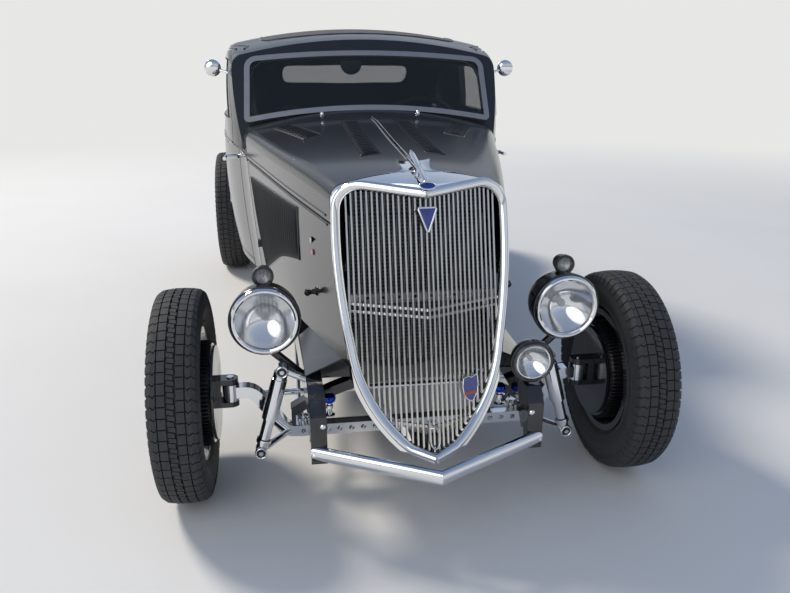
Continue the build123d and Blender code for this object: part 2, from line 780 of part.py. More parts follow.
# Bumper bars: the front V, and a rear bar on two brackets
with BuildPart() as bumper_bars:
    add(front_bar)
    rear_path = [(-rear_bar_half, at(rear_tip_station - 45)), (-rear_bar_half + 60, at(rear_tip_station - 11)),
                 (rear_bar_half - 60, at(rear_tip_station - 11)), (rear_bar_half, at(rear_tip_station - 45))]
    add(bar_path(rear_path, bar_height, bar_depth, rear_bar_z))
    for side in (-1, 1):
        with Locations((side * rear_bracket_x, at(3290), rear_bar_z)):
            Box(bracket_thickness, 154, 30)
    for rail in rail_pair:
        add(rail, mode=Mode.SUBTRACT)
hand_over(bumper_bars.part, "bumper_bars")

# Front axle: dropped I-beam with a row of lightening holes and a kingpin at each end
axle_top_z = front_tyre_radius
with BuildPart() as axle:
    with BuildSketch(Plane.XZ.offset(-at(axle_beam_depth / 2))):
        with BuildLine():
            FilletPolyline((-kingpin_x, axle_top_z), (-axle_drop_end, axle_top_z), (-axle_drop_start, axle_beam_z),
                           (axle_drop_start, axle_beam_z), (axle_drop_end, axle_top_z), (kingpin_x, axle_top_z),
                           radius=50)
        trace(line_width=axle_beam_height)
    extrude(amount=axle_beam_depth)
    with BuildSketch(Plane.XZ.offset(-at(axle_beam_depth / 2))):
        with GridLocations(axle_hole_pitch, 1, axle_hole_count, 1):
            with Locations((0, axle_beam_z)):
                Circle(axle_hole_radius)
    extrude(amount=axle_beam_depth, mode=Mode.SUBTRACT)
    for side in (-1, 1):
        with BuildSketch(Plane.XY.offset(axle_top_z - axle_boss_half)):
            with Locations((side * kingpin_x, at(0))):
                Circle(axle_boss_radius)
        extrude(amount=2 * axle_boss_half)
        pin_half = axle_boss_half + ear_gap + ear_height + 4
        with BuildSketch(Plane.XY.offset(axle_top_z - pin_half)):
            with Locations((side * kingpin_x, at(0))):
                Circle(kingpin_radius)
        extrude(amount=2 * pin_half)
hand_over(axle.part, "front_axle")

# Steering knuckle: two ears on the kingpin, a spindle, a backing plate and a steering arm
spindle_end_x = front_half_track - 8
plate_x = front_half_track - drum_inset - backing_plate_thickness - 3
ear_reach_x = plate_x
with BuildPart() as knuckle:
    for base in (axle_top_z + axle_boss_half + ear_gap, axle_top_z - axle_boss_half - ear_gap - ear_height):
        with BuildSketch(Plane.XY.offset(base)) as ear:
            with Locations((kingpin_x, at(0))):
                Circle(ear_radius)
            with Locations(((kingpin_x + ear_reach_x) / 2, at(0))):
                Rectangle(ear_reach_x - kingpin_x, 2 * ear_radius)
            with Locations((kingpin_x, at(0))):
                Circle(kingpin_radius + spindle_clearance, mode=Mode.SUBTRACT)
        extrude(amount=ear_height)
    yoke_bottom = axle_top_z - axle_boss_half - ear_gap - ear_height
    yoke_height = 2 * (axle_boss_half + ear_gap + ear_height)
    with BuildSketch(Plane.XY.offset(yoke_bottom)):
        with Locations((ear_reach_x - 6, at(0))):
            Rectangle(12, 2 * ear_radius)
    extrude(amount=yoke_height)
    with BuildSketch(Plane.YZ.offset(plate_x)):
        with Locations((at(0), axle_top_z)):
            Circle(backing_plate_radius)
    extrude(amount=backing_plate_thickness)
    with BuildSketch(Plane.YZ.offset(plate_x)):
        with Locations((at(0), axle_top_z)):
            Circle(hub_bore)
    extrude(amount=spindle_end_x - plate_x)
    arm_bottom = yoke_bottom
    with BuildSketch(Plane.XY.offset(arm_bottom)):
        with BuildLine():
            Polyline((kingpin_x - 16, at(22)), (kingpin_x + 16, at(22)), (kingpin_x + 12, at(steering_arm_length)),
                     (kingpin_x - 12, at(steering_arm_length)), close=True)
        make_face()
    extrude(amount=14)
    with BuildSketch(Plane.XY.offset(arm_bottom)):
        with Locations((kingpin_x, at(steering_arm_length))):
            Circle(15)
    extrude(amount=14)
    with BuildSketch(Plane.XY.offset(tie_rod_z - 14)):
        with Locations((kingpin_x, at(steering_arm_length))):
            Circle(ball_stud_radius)
    extrude(amount=arm_bottom - tie_rod_z + 14)
both_sides(knuckle.part, "knuckle")

# Tie rod: an eye at each end, the right-hand one loose where the linkage is opened
with BuildPart() as tie_rod:
    for side, clearance in ((1, spindle_clearance), (-1, open_pivot_clearance)):
        with BuildSketch(Plane.XY.offset(tie_rod_z - 10)):
            with Locations((side * kingpin_x, at(steering_arm_length))):
                Circle(17)
        extrude(amount=20)
    with BuildSketch(Plane.YZ.offset(-kingpin_x)):
        with Locations((at(steering_arm_length), tie_rod_z)):
            Circle(tie_rod_radius)
    extrude(amount=2 * kingpin_x)
    for side, clearance in ((1, spindle_clearance), (-1, open_pivot_clearance)):
        with BuildSketch(Plane.XY.offset(tie_rod_z - 20)):
            with Locations((side * kingpin_x, at(steering_arm_length))):
                Circle(ball_stud_radius + clearance)
        extrude(amount=40, mode=Mode.SUBTRACT)
hand_over(tie_rod.part, "tie_rod")


# Wheels: a drop-centre steel rim with its disc, hub and drum, and a round-shouldered tyre
def wheel_plane(half_track, station, height):
    return Plane(origin=(half_track, at(station), height), x_dir=(1, 0, 0), z_dir=(0, -1, 0))


def wheel_axis(half_track, station, height):
    return Axis((half_track, at(station), height), (1, 0, 0))


def make_rim(half_track, station, height, width, bore):
    half = width / 2
    with BuildPart() as rim:
        with BuildSketch(wheel_plane(half_track, station, height)):
            with BuildLine():
                Polyline((-half, rim_radius + rim_lip), (-half, rim_radius - rim_wall), (-half + 32, rim_radius - 30),
                         (6, rim_radius - 30), (6, hub_radius + 20), (-drum_inset + drum_depth, hub_radius + 20),
                         (-drum_inset + drum_depth, drum_radius), (-drum_inset, drum_radius),
                         (-drum_inset, bore), (30, bore), (30, hub_radius), (16, hub_radius + 60),
                         (16, rim_radius - 30), (half - 32, rim_radius - 30), (half, rim_radius - rim_wall),
                         (half, rim_radius + rim_lip), (half - 7, rim_radius + rim_lip), (half - 7, rim_radius),
                         (half - 34, rim_radius - 22), (-half + 34, rim_radius - 22), (-half + 7, rim_radius),
                         (-half + 7, rim_radius + rim_lip), close=True)
            make_face()
        revolve(axis=wheel_axis(half_track, station, height))
        with BuildSketch(wheel_plane(half_track, station, height)):
            with BuildLine():
                Polyline((30, 0), (52, 0), (48, 30), (30, hub_radius), close=True)
            make_face()
        revolve(axis=wheel_axis(half_track, station, height))
    return rim.part


def make_tyre(half_track, station, radius, width, rim_width):
    half = width / 2
    tread = half - 16
    with BuildPart() as tyre:
        with BuildSketch(wheel_plane(half_track, station, radius)) as section:
            bead = rim_width / 2 - 7 - fit_gap
            flange = rim_radius + rim_lip + 1
            with BuildLine():
                Line((-bead, rim_radius + fit_gap), (bead, rim_radius + fit_gap))
                Line((bead, rim_radius + fit_gap), (bead, flange))
                ThreePointArc((bead, flange), (half, (flange + radius) / 2), (tread, radius - 6))
                ThreePointArc((tread, radius - 6), (0, radius), (-tread, radius - 6))
                ThreePointArc((-tread, radius - 6), (-half, (flange + radius) / 2), (-bead, flange))
                Line((-bead, flange), (-bead, rim_radius + fit_gap))
            make_face()
        revolve(axis=wheel_axis(half_track, station, radius))
    return tyre.part


front_bore = hub_bore + spindle_clearance
both_sides(make_rim(front_half_track, 0, front_tyre_radius, front_rim_width, front_bore), "rim_front")
both_sides(make_tyre(front_half_track, 0, front_tyre_radius, front_tyre_width, front_rim_width),
           "tyre_front")
both_sides(make_rim(rear_half_track, wheelbase, rear_tyre_radius, rear_rim_width, front_bore), "rim_rear")
both_sides(make_tyre(rear_half_track, wheelbase, rear_tyre_radius, rear_tyre_width, rear_rim_width),
           "tyre_rear")

# Rear axle: banjo housing, tubes with backing plates, and the torque tube to the gearbox
rear_plate_x = rear_half_track - drum_inset - backing_plate_thickness - 3
with BuildPart() as rear_axle:
    with BuildSketch(Plane(origin=(0, at(wheelbase), rear_tyre_radius), x_dir=(1, 0, 0), z_dir=(0, -1, 0))):
        with BuildLine():
            Polyline((-rear_half_track + 8, 0), (-rear_half_track + 8, hub_bore), (-rear_plate_x, hub_bore),
                     (-rear_plate_x, 45), (-170, 48), (-85, 150), (85, 150), (170, 48), (rear_plate_x, 45),
                     (rear_plate_x, hub_bore), (rear_half_track - 8, hub_bore), (rear_half_track - 8, 0),
                     close=True)
        make_face()
    revolve(axis=wheel_axis(0, wheelbase, rear_tyre_radius))
    for side in (-1, 1):
        with BuildSketch(Plane.YZ.offset(side * rear_plate_x - (0 if side > 0 else backing_plate_thickness))):
            with Locations((at(wheelbase), rear_tyre_radius)):
                Circle(backing_plate_radius)
        extrude(amount=backing_plate_thickness)
    add(rod((0, wheelbase - 60, rear_tyre_radius), (0, 1020, 400), 38))
hand_over(rear_axle.part, "rear_axle")


# Transverse leaf springs with their shackles
spring_thickness = 32
spring_width = 46
with BuildPart() as front_spring:
    spring_top = front_member_z - front_member_size[1] / 2
    with BuildSketch(Plane.XZ.offset(-at(spring_width / 2))):
        with BuildLine():
            ThreePointArc((-392, 262), (0, spring_top - spring_thickness / 2), (392, 262))
        trace(line_width=spring_thickness)
    extrude(amount=spring_width)
    for side in (-1, 1):
        add(block(side * 392 - 7, side * 392 + 7, 5 - spring_width / 2, spring_width / 2 - 5, axle_beam_z, 265))
    add(axle.part, mode=Mode.SUBTRACT)
with BuildPart() as rear_spring:
    spring_top = 545 - rear_member_size[1] / 2
    with BuildSketch(Plane.XZ.offset(-at(rear_member_station + spring_width / 2))):
        with BuildLine():
            ThreePointArc((-470, 392), (0, spring_top - spring_thickness / 2), (470, 392))
        trace(line_width=spring_thickness)
    extrude(amount=spring_width)
    for side in (-1, 1):
        add(rod((side * 462, rear_member_station, 388), (side * 462, wheelbase + 20, 388), 12))
    add(rear_axle.part, mode=Mode.SUBTRACT)
with BuildPart() as leaf_springs:
    add(front_spring.part)
    add(rear_spring.part)
hand_over(leaf_springs.part, "leaf_springs")

# Hairpin radius rods from the axle back to the rails
rod_front_x = 372
rod_spread = 39
rod_low_z = axle_beam_z - axle_beam_height / 2 + rod_radius + 2
with BuildPart() as hairpin:
    add(block(rod_front_x - 13, rod_front_x + 13, axle_beam_depth / 2, axle_beam_depth / 2 + 16,
              rod_low_z - rod_radius, rod_low_z + rod_spread + rod_radius + 3))
    add(rod((rod_front_x, 20, rod_low_z + rod_spread), (372, 892, 306), rod_radius))
    add(rod((rod_front_x, 20, rod_low_z), (372, 892, 288), rod_radius))
    with Locations((372, at(900), 312)):
        Box(30, 70, 56)
    add(axle.part, mode=Mode.SUBTRACT)
    add(rail_left, mode=Mode.SUBTRACT)
with BuildPart() as radius_rods:
    add(hairpin.part)
    mirror(hairpin.part, about=Plane.YZ)
hand_over(radius_rods.part, "radius_rods")

# Front shock absorbers, each between a perch on the axle and a stud on the rail
def along(start, end, share):
    return tuple(a + (b - a) * share for a, b in zip(start, end))


with BuildPart() as shock:
    add(rod(along(shock_bottom, shock_top, 0.05), along(shock_bottom, shock_top, 0.62), shock_radius - 4))
    add(rod(along(shock_bottom, shock_top, 0.45), along(shock_bottom, shock_top, 0.97), shock_radius))
    for end in (shock_bottom, shock_top):
        with BuildSketch(Plane.XZ.offset(-at(end[1] + 15))):
            with Locations((end[0], end[2])):
                Circle(19)
        extrude(amount=30)
    add(rod(shock_bottom, (412, 3 - axle_beam_depth / 2, axle_beam_z), 11))
    add(rod(shock_top, (350, -150, 436), 11))
    add(axle.part, mode=Mode.SUBTRACT)
    add(rail_left, mode=Mode.SUBTRACT)
with BuildPart() as shock_absorbers:
    add(shock.part)
    mirror(shock.part, about=Plane.YZ)
hand_over(shock_absorbers.part, "shock_absorbers")

# Radiator behind the grille: core, top and bottom tanks
radiator_half = 205
# height and inner x of each pair of arms out to the back of the grille shell
radiator_arms = [(540, 208), (760, 231)]
with BuildPart() as radiator:
    add(block(-radiator_half, radiator_half, -105, -45, 470, 930))
    add(block(-radiator_half + 8, radiator_half - 8, -98, -52, front_member_z + front_member_size[1] / 2, 1000))
    for height, arm_x in radiator_arms:
        seat_station = hood_front_station + rake * (height - nose_z) - panel_gap - 3
        for side in (-1, 1):
            add(block(min(side * arm_x, side * (arm_x + 8)), max(side * arm_x, side * (arm_x + 8)),
                      seat_station, -60, height, height + 24))
            add(block(min(side * 196, side * (arm_x + 8)), max(side * 196, side * (arm_x + 8)),
                      -100, -60, height, height + 24))
    add(grille_shell.part, mode=Mode.SUBTRACT)
hand_over(radiator.part, "radiator")

# Engine: one plain block with its gearbox, seated on the cross members through two mounts
with BuildPart() as engine:
    add(block(-235, 235, 150, 800, 360, 860))
    with BuildSketch(Plane.XZ.offset(-at(800))):
        with Locations((0, 470)):
            RectangleRounded(300, 250, 60)
    with BuildSketch(Plane.XZ.offset(-at(996))):
        with Locations((0, 440)):
            RectangleRounded(190, 180, 40)
    loft()
    for side in (-1, 1):
        add(block(min(side * 200, side * 420), max(side * 200, side * 420), 300, 360, 380, 430))
    for rail in rail_pair:
        add(rail, mode=Mode.SUBTRACT)
    add(block(420, 600, 200, 500, 300, 600), mode=Mode.SUBTRACT)
with BuildPart() as engine_block:
    for solid in engine.part.solids():
        if abs(solid.center().X) < 50:
            add(solid)
hand_over(engine_block.part, "engine_block")

# Exhaust: a pipe and silencer on each side
exhaust_x = 250
exhaust_z = 258
with BuildPart() as exhaust:
    add(rod((exhaust_x - 40, 600, 380), (exhaust_x, 1000, exhaust_z), 24))
    add(rod((exhaust_x, 990, exhaust_z), (exhaust_x, 3300, exhaust_z), 24))
    add(rod((exhaust_x, 1750, exhaust_z), (exhaust_x, 2250, exhaust_z), 45))
    add(block(exhaust_x - 12, exhaust_x + 12, center_member_station - 12, center_member_station + 12,
              exhaust_z, center_member_z))
    add(engine_block.part, mode=Mode.SUBTRACT)
    add(trimmed_members.part, mode=Mode.SUBTRACT)
with BuildPart() as exhaust_pipes:
    add(exhaust.part)
    mirror(exhaust.part, about=Plane.YZ)
hand_over(exhaust_pipes.part, "exhaust_pipes")

# Fuel tank between the rails at the rear, hung from the boot floor
with BuildPart() as fuel_tank:
    add(block(-330, 330, 3090, 3250, 320, 500))
    fillet(fuel_tank.edges().filter_by(Axis.Y), 35)
    for side in (-1, 1):
        add(block(side * 200 - 20, side * 200 + 20, 3100, 3240, 480, boot_floor_z - 8))
    add(floor_pan.part, mode=Mode.SUBTRACT)
    add(trimmed_members.part, mode=Mode.SUBTRACT)
    add(exhaust_pipes.part, mode=Mode.SUBTRACT)
hand_over(fuel_tank.part, "fuel_tank")


# Lamps: a bowl open to the front, with a domed lens seated in it
lamp_wall = 4
lamp_lip = 14


def lamp_form(x, face_station, z, radius, depth, lead):
    """A round barrel with a hemispherical back, started some way ahead of its face."""
    face = at(face_station)
    barrel = face + depth - radius
    with BuildPart() as dome:
        with BuildSketch(Plane.YZ.offset(x)):
            with BuildLine():
                Polyline((face + depth, z), (face - lead, z), (face - lead, z + radius), (barrel, z + radius))
                ThreePointArc((barrel, z + radius), (barrel + radius * sin(pi / 4), z + radius * cos(pi / 4)),
                              (face + depth, z))
            make_face()
        revolve(axis=Axis((x, face, z), (0, 1, 0)))
    return dome.part


def lamp_lens(x, face_station, z, radius, bulge, thickness=6):
    """A disc with a spherical front, seated inside the lamp's wall."""
    seat = radius - lamp_wall - fit_gap
    face = at(face_station)
    sphere = (seat ** 2 + bulge ** 2) / (2 * bulge)
    half_angle = asin(seat / sphere) / 2
    with BuildPart() as lens:
        with BuildSketch(Plane.YZ.offset(x)):
            with BuildLine():
                Polyline((face - bulge, z), (face + thickness, z), (face + thickness, z + seat), (face, z + seat))
                ThreePointArc((face, z + seat),
                              (face - bulge + sphere * (1 - cos(half_angle)), z + sphere * sin(half_angle)),
                              (face - bulge, z))
            make_face()
        revolve(axis=Axis((x, face, z), (0, 1, 0)))
    return lens.part


signal_z = headlamp_z + headlamp_radius + signal_radius - 3
signal_face_station = headlamp_face_station + 34
signal_depth = 58
lamp_rows = [
    (headlamp_x, headlamp_face_station, headlamp_z, headlamp_radius, headlamp_depth, 14),
    (-headlamp_x, headlamp_face_station, headlamp_z, headlamp_radius, headlamp_depth, 14),
    (driving_lamp[0], driving_lamp[1], driving_lamp[2], driving_lamp_radius, driving_lamp_depth, 7),
    (headlamp_x, signal_face_station, signal_z, signal_radius, signal_depth, 4),
    (-headlamp_x, signal_face_station, signal_z, signal_radius, signal_depth, 4),
]
with BuildPart() as lamp_solids:
    for x, face_station, z, radius, depth, bulge in lamp_rows:
        add(lamp_form(x, face_station, z, radius, depth, 0))
        with BuildSketch(Plane.XZ.offset(-at(face_station))):
            with Locations((x, z)):
                Circle(radius + lamp_wall)
        extrude(amount=-lamp_lip)
    for side in (-1, 1):
        with BuildSketch(Plane.XY.offset(headlamp_z)):
            with Locations((side * headlamp_x, at(signal_face_station + 30))):
                Circle(9)
        extrude(amount=headlamp_radius + 12)
with BuildPart() as lamp_shells:
    add(lamp_solids.part)
    for x, face_station, z, radius, depth, bulge in lamp_rows:
        add(lamp_form(x, face_station, z, radius - lamp_wall, depth - lamp_wall, 5), mode=Mode.SUBTRACT)
hand_over(lamp_shells.part, "lamp_shells")
with BuildPart() as lamp_lenses:
    for x, face_station, z, radius, depth, bulge in lamp_rows:
        add(lamp_lens(x, face_station, z, radius, bulge))
hand_over(lamp_lenses.part, "lamp_lenses")

# Lamp stands from the rails, and the driving lamp's post
stand_station = -98
with BuildPart() as lamp_stand:
    add(rod((350, stand_station, 420), (headlamp_x, headlamp_station + 6, headlamp_z - headlamp_radius), 13))
    add(rod((headlamp_x, headlamp_station + 6, headlamp_z - headlamp_radius - 14),
            (headlamp_x, headlamp_station + 6, headlamp_z - 60), 24))
    add(rail_left, mode=Mode.SUBTRACT)
with BuildPart() as lamp_stands:
    add(lamp_stand.part)
    mirror(lamp_stand.part, about=Plane.YZ)
    add(rod((driving_lamp[0], driving_lamp[1] + 50, 420), (driving_lamp[0], driving_lamp[1] + 50, 490), 10))
    add(rail_left, mode=Mode.SUBTRACT)
    add(lamp_solids.part, mode=Mode.SUBTRACT)
    for x, face_station, z, radius, depth, bulge in lamp_rows:
        add(lamp_form(x, face_station, z, radius - lamp_wall, depth - lamp_wall, 5), mode=Mode.SUBTRACT)
hand_over(lamp_stands.part, "lamp_stands")

# Tail lamps on the flat end of the body
with BuildPart() as tail_lamps:
    for side in (-1, 1):
        with BuildSketch(Plane.XZ.offset(-at(body_rear_station))):
            with Locations((side * tail_lamp_x, tail_lamp_z)):
                Circle(tail_lamp_radius)
        extrude(amount=-24, taper=12)
hand_over(tail_lamps.part, "tail_lamps")

# Dashboard under the windscreen, with the steering column
column_x = 300
wheel_centre = (column_x, 1590, 1015)
column_foot = (column_x, 1011, 1015 - 0.67 * 579)
column_spindle_radius = 9
with BuildPart() as dashboard:
    add(block(-600, 600, 1152, 1180, 985, 1128))
    add(block(-600, 600, 1104, 1180, 1118, 1128))
    add(lower_inner, mode=Mode.INTERSECT)
    add(rod(column_foot, along(column_foot, wheel_centre, 0.955), 18))
    add(rod(column_foot, wheel_centre, column_spindle_radius))
    add(block(-600, 600, 900, firewall_rear, 400, 900), mode=Mode.SUBTRACT)
    add(block(column_x - 16, column_x + 16, 1152, 1176, 735, 990))
    add(cowl.part, mode=Mode.SUBTRACT)
hand_over(dashboard.part, "dashboard")

# Steering wheel
wheel_plane_up = Vector(0, 579, 0.67 * 579).normalized()
wheel_origin = Vector(wheel_centre[0], at(wheel_centre[1]), wheel_centre[2])
steering_plane = Plane(origin=wheel_origin, x_dir=(1, 0, 0), z_dir=wheel_plane_up)
steering_radius = 205
with BuildPart() as steering_wheel:
    with BuildSketch(Plane(origin=wheel_origin, x_dir=(1, 0, 0), z_dir=steering_plane.y_dir)):
        with Locations((steering_radius, 0)):
            Circle(12)
    revolve(axis=Axis(wheel_origin, wheel_plane_up))
    with BuildSketch(steering_plane.offset(-20)):
        Circle(34)
    extrude(amount=34)
    with BuildSketch(steering_plane.offset(-20)):
        Circle(column_spindle_radius + spindle_clearance)
    extrude(amount=22, mode=Mode.SUBTRACT)
    with BuildSketch(steering_plane.offset(-6)):
        with PolarLocations(steering_radius / 2 + 14, 4, start_angle=45):
            Rectangle(steering_radius - 28, 16)
    extrude(amount=8)
hand_over(steering_wheel.part, "steering_wheel")

# Bench seat: cushion and back
seat_half = 462
with BuildPart() as seat_cushion:
    add(side_prism([(seat_front + 5, seat_base_z), (2105, seat_base_z), (2105, 690), (seat_front + 5, 715)],
                   -seat_half, seat_half, 0))
    fillet(seat_cushion.edges().group_by(Axis.Z)[-1], 40)
hand_over(seat_cushion.part, "seat_cushion")
with BuildPart() as seat_back:
    add(side_prism([(2108, seat_base_z), (2240, seat_base_z), (2350, 1130), (2240, 1160)], -seat_half, seat_half, 0))
    fillet(seat_back.edges().group_by(Axis.Z)[-1], 30)
hand_over(seat_back.part, "seat_back")

# Door fittings: the handle at the front edge, the mirror on the pillar side, and two outside hinges
mirror_centre = (690, 1351, 1332)
handle_z = 946
with BuildPart() as fittings:
    with BuildSketch(Plane(origin=(mirror_centre[0], at(mirror_centre[1]), mirror_centre[2]), z_dir=(0, 1, 0))):
        Circle(36)
    extrude(amount=12)
    add(rod((mirror_centre[0], mirror_centre[1] + 8, mirror_centre[2]), (580, mirror_centre[1] - 36, 1300), 6))
    add(rod((600, door_front + 40, handle_z), (652, door_front + 40, handle_z), 9))
    add(rod((646, door_front + 44, handle_z), (650, door_front - 40, handle_z), 8))
    for height in door_hinge_heights:
        add(rod((door_hinge_x, door_hinge_station, height - hinge_knuckle_half),
                (door_hinge_x, door_hinge_station, height + hinge_knuckle_half), hinge_radius))
        add(block(660, door_hinge_x - 2, door_rear - 60, door_rear + 1, height - 16, height + 16))
        add(rod((door_hinge_x, door_hinge_station, height - hinge_knuckle_half - 1),
                (door_hinge_x, door_hinge_station, height + hinge_knuckle_half + 1),
                hinge_pin_radius + spindle_clearance), mode=Mode.SUBTRACT)
    add(door.part, mode=Mode.SUBTRACT)
with BuildPart() as door_fittings:
    for solid in fittings.part.solids():
        if solid.center().X > 630:
            add(solid)
both_sides(door_fittings.part, "door_fittings")
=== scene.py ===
import json
from math import atan2, cos, exp, pi, radians, sin, sqrt, tau

import bmesh
import bpy
from mathutils import Matrix, Vector
from mathutils.bvhtree import BVHTree


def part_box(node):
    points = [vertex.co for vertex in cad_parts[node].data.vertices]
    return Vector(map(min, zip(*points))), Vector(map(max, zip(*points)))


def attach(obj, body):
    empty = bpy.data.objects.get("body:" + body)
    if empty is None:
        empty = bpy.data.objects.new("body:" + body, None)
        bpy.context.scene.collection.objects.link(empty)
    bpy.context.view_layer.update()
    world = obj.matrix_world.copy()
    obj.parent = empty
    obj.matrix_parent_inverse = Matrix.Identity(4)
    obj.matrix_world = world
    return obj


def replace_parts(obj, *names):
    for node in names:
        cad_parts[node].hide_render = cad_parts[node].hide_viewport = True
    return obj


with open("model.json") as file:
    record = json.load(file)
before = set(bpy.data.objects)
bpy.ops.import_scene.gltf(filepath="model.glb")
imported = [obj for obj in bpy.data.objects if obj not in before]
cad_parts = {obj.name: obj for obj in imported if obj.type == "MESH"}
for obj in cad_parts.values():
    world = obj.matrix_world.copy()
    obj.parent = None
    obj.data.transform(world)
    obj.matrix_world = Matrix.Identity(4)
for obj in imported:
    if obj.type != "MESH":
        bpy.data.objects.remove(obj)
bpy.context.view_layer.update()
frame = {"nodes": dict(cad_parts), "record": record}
nodes = frame["nodes"]
record = frame["record"]
scene = bpy.context.scene

SIDES = ((1, "left"), (-1, "right"))
ACROSS, BACK, UP = Vector((1, 0, 0)), Vector((0, 1, 0)), Vector((0, 0, 1))
FRONT_AXLE_Y, REAR_AXLE_Y = -1.420, 1.424

# By axle: its place along the car, half track, tyre radius, tyre width, rim width and tread pitches
WHEELS = {"front": (FRONT_AXLE_Y, 0.729, 0.342, 0.151, 0.115, 66),
          "rear": (REAR_AXLE_Y, 0.740, 0.388, 0.190, 0.150, 70)}


def here(x, station, z):
    """A point from millimetres across the car, behind the front axle and above the ground."""
    return Vector((x / 1000, FRONT_AXLE_Y + station / 1000, z / 1000))


def on_side(side, points):
    """Points given for the left side, on either side of the car."""
    return [here(side * x, station, z) for x, station, z in points]


# Shader arithmetic: a wrapped socket takes part in ordinary Python expressions
def feed(tree, socket, value):
    """Links a wire to a socket, or sets the socket's own value."""
    if isinstance(value, Wire):
        tree.links.new(value.socket, socket)
    else:
        socket.default_value = value


class Wire:
    """A node's output."""

    def __init__(self, tree, socket):
        self.tree = tree
        self.socket = socket

    def maths(self, operation, *values):
        node = self.tree.nodes.new("ShaderNodeMath")
        node.operation = operation
        for socket, value in zip(node.inputs, values):
            feed(self.tree, socket, value)
        return Wire(self.tree, node.outputs[0])

    def __add__(self, other):
        return self.maths("ADD", self, other)

    def __sub__(self, other):
        return self.maths("SUBTRACT", self, other)

    def __rsub__(self, other):
        return self.maths("SUBTRACT", other, self)

    def __mul__(self, other):
        return self.maths("MULTIPLY", self, other)

    def __pow__(self, other):
        return self.maths("POWER", self, other)

    def __mod__(self, other):
        return self.maths("FLOORED_MODULO", self, other)

    __radd__ = __add__
    __rmul__ = __mul__

    def between(self, low, high):
        """0 below low, 1 above high, and a smooth ramp in between."""
        node = self.tree.nodes.new("ShaderNodeMapRange")
        node.interpolation_type = "SMOOTHSTEP"
        for key, value in (("Value", self), ("From Min", low), ("From Max", high)):
            feed(self.tree, node.inputs[key], value)
        return Wire(self.tree, node.outputs["Result"])


finishes = {}


class Finish:
    """A material made of nodes, started with its plain properties and kept in finishes."""

    def __init__(self, name, colour, roughness, metallic=0.0, **plain):
        self.material = bpy.data.materials.new(name)
        self.material.use_nodes = True
        self.tree = self.material.node_tree
        self.surface = self.tree.nodes["Principled BSDF"]
        self.give("Base Color", (*colour, 1))
        self.give("Roughness", roughness)
        self.give("Metallic", metallic)
        for socket_name, value in plain.items():
            self.give(socket_name.replace("_", " "), value)
        finishes[name] = self.material

    def give(self, socket_name, value):
        feed(self.tree, self.surface.inputs[socket_name], value)

    def node(self, kind, settings=None, output=0, **sockets):
        """Any node by its kind, its settings and what its sockets are fed."""
        made = self.tree.nodes.new("ShaderNode" + kind)
        for key, value in (settings or {}).items():
            setattr(made, key, value)
        for key, value in sockets.items():
            feed(self.tree, made.inputs[key.replace("_", " ")], value)
        return Wire(self.tree, made.outputs[output])

    def place(self):
        """Position in metres in the car's own frame."""
        return self.node("TexCoord", output="Object")

    def split(self, vector):
        """The three numbers of a vector."""
        made = self.node("SeparateXYZ", Vector=vector).socket.node
        return [Wire(self.tree, output) for output in made.outputs]

    def noise(self, scale, detail, vector=None):
        return self.node("TexNoise", Vector=vector or self.place(), Scale=scale, Detail=detail,
                         Roughness=0.55)

    def cells(self, scale, feature="F1"):
        return self.node("TexVoronoi", {"feature": feature}, Vector=self.place(), Scale=scale)

    def upward(self):
        """1 where the surface looks up, 0 on sides and below."""
        return self.split(self.node("NewGeometry", output="Normal"))[2].between(0.2, 1.0)

    def blend(self, factor, first, second):
        """A colour on the way from the first to the second."""
        mixed = self.tree.nodes.new("ShaderNodeMix")
        mixed.data_type = "RGBA"
        sockets = {socket.identifier: socket for socket in mixed.inputs}
        for key, value in (("Factor_Float", factor), ("A_Color", (*first, 1)), ("B_Color", (*second, 1))):
            feed(self.tree, sockets[key], value)
        return Wire(self.tree, next(s for s in mixed.outputs if s.identifier == "Result_Color"))

    def bump(self, height, distance, strength=1.0):
        self.give("Normal", self.node("Bump", Height=height, Distance=distance, Strength=strength))


def clouded(name, first, second, cloud, rough, swing=0.0, metallic=0.0, ramp=None, grain=None, **plain):
    """A finish whose colour drifts with a soft cloud, its roughness by the swing, over a fine grain."""
    finish = Finish(name, first, rough, metallic, **plain)
    haze = finish.noise(*cloud)
    if ramp:
        haze = haze.between(*ramp)
    finish.give("Base Color", finish.blend(haze, first, second))
    if swing:
        finish.give("Roughness", haze * swing + rough)
    if grain:
        scale, detail, distance, strength = grain
        finish.bump(finish.noise(scale, detail), distance, strength)
    return finish


def plain_metal(name, colour, rough, scale=30):
    """Metal under a faint haze."""
    clouded(name, colour, tuple(c * 0.78 for c in colour), (scale, 4), rough - 0.05, 0.12, 1.0,
            grain=(scale * 14, 2, 0.0001, 0.4))


def brushed_steel(name, level, rough):
    steel = Finish(name, (level,) * 3, rough, 1.0)
    stretched = steel.node("Mapping", Vector=steel.place(), Scale=(1, 1, 0.03))
    brushed = steel.noise(260, 3, stretched)
    dark, pale = (level * 0.8,) * 3, (level * 1.15, level * 1.14, level * 1.1)
    steel.give("Base Color", steel.blend(brushed, dark, pale))
    steel.give("Roughness", brushed * 0.16 + rough - 0.08)
    steel.bump(brushed, 0.0001, 0.3)


def satin_black():
    """Body paint with a thin coat, and dust where it looks up."""
    paint = Finish("satin_black_paint", (0.008, 0.009, 0.011), 0.26, Coat_Roughness=0.12, Coat_Weight=0.35)
    cloud = paint.noise(2.2, 3)
    dust = paint.noise(140, 2) * paint.upward()
    pale = dust * 0.3 + cloud * 0.2
    paint.give("Base Color", paint.blend(pale, (0.0055, 0.006, 0.008), (0.026, 0.027, 0.031)))
    paint.give("Roughness", cloud * 0.08 + paint.upward() * 0.1 + paint.noise(60, 2) * 0.04 + 0.14)
    paint.bump(paint.noise(320, 2), 0.0001, 0.4)


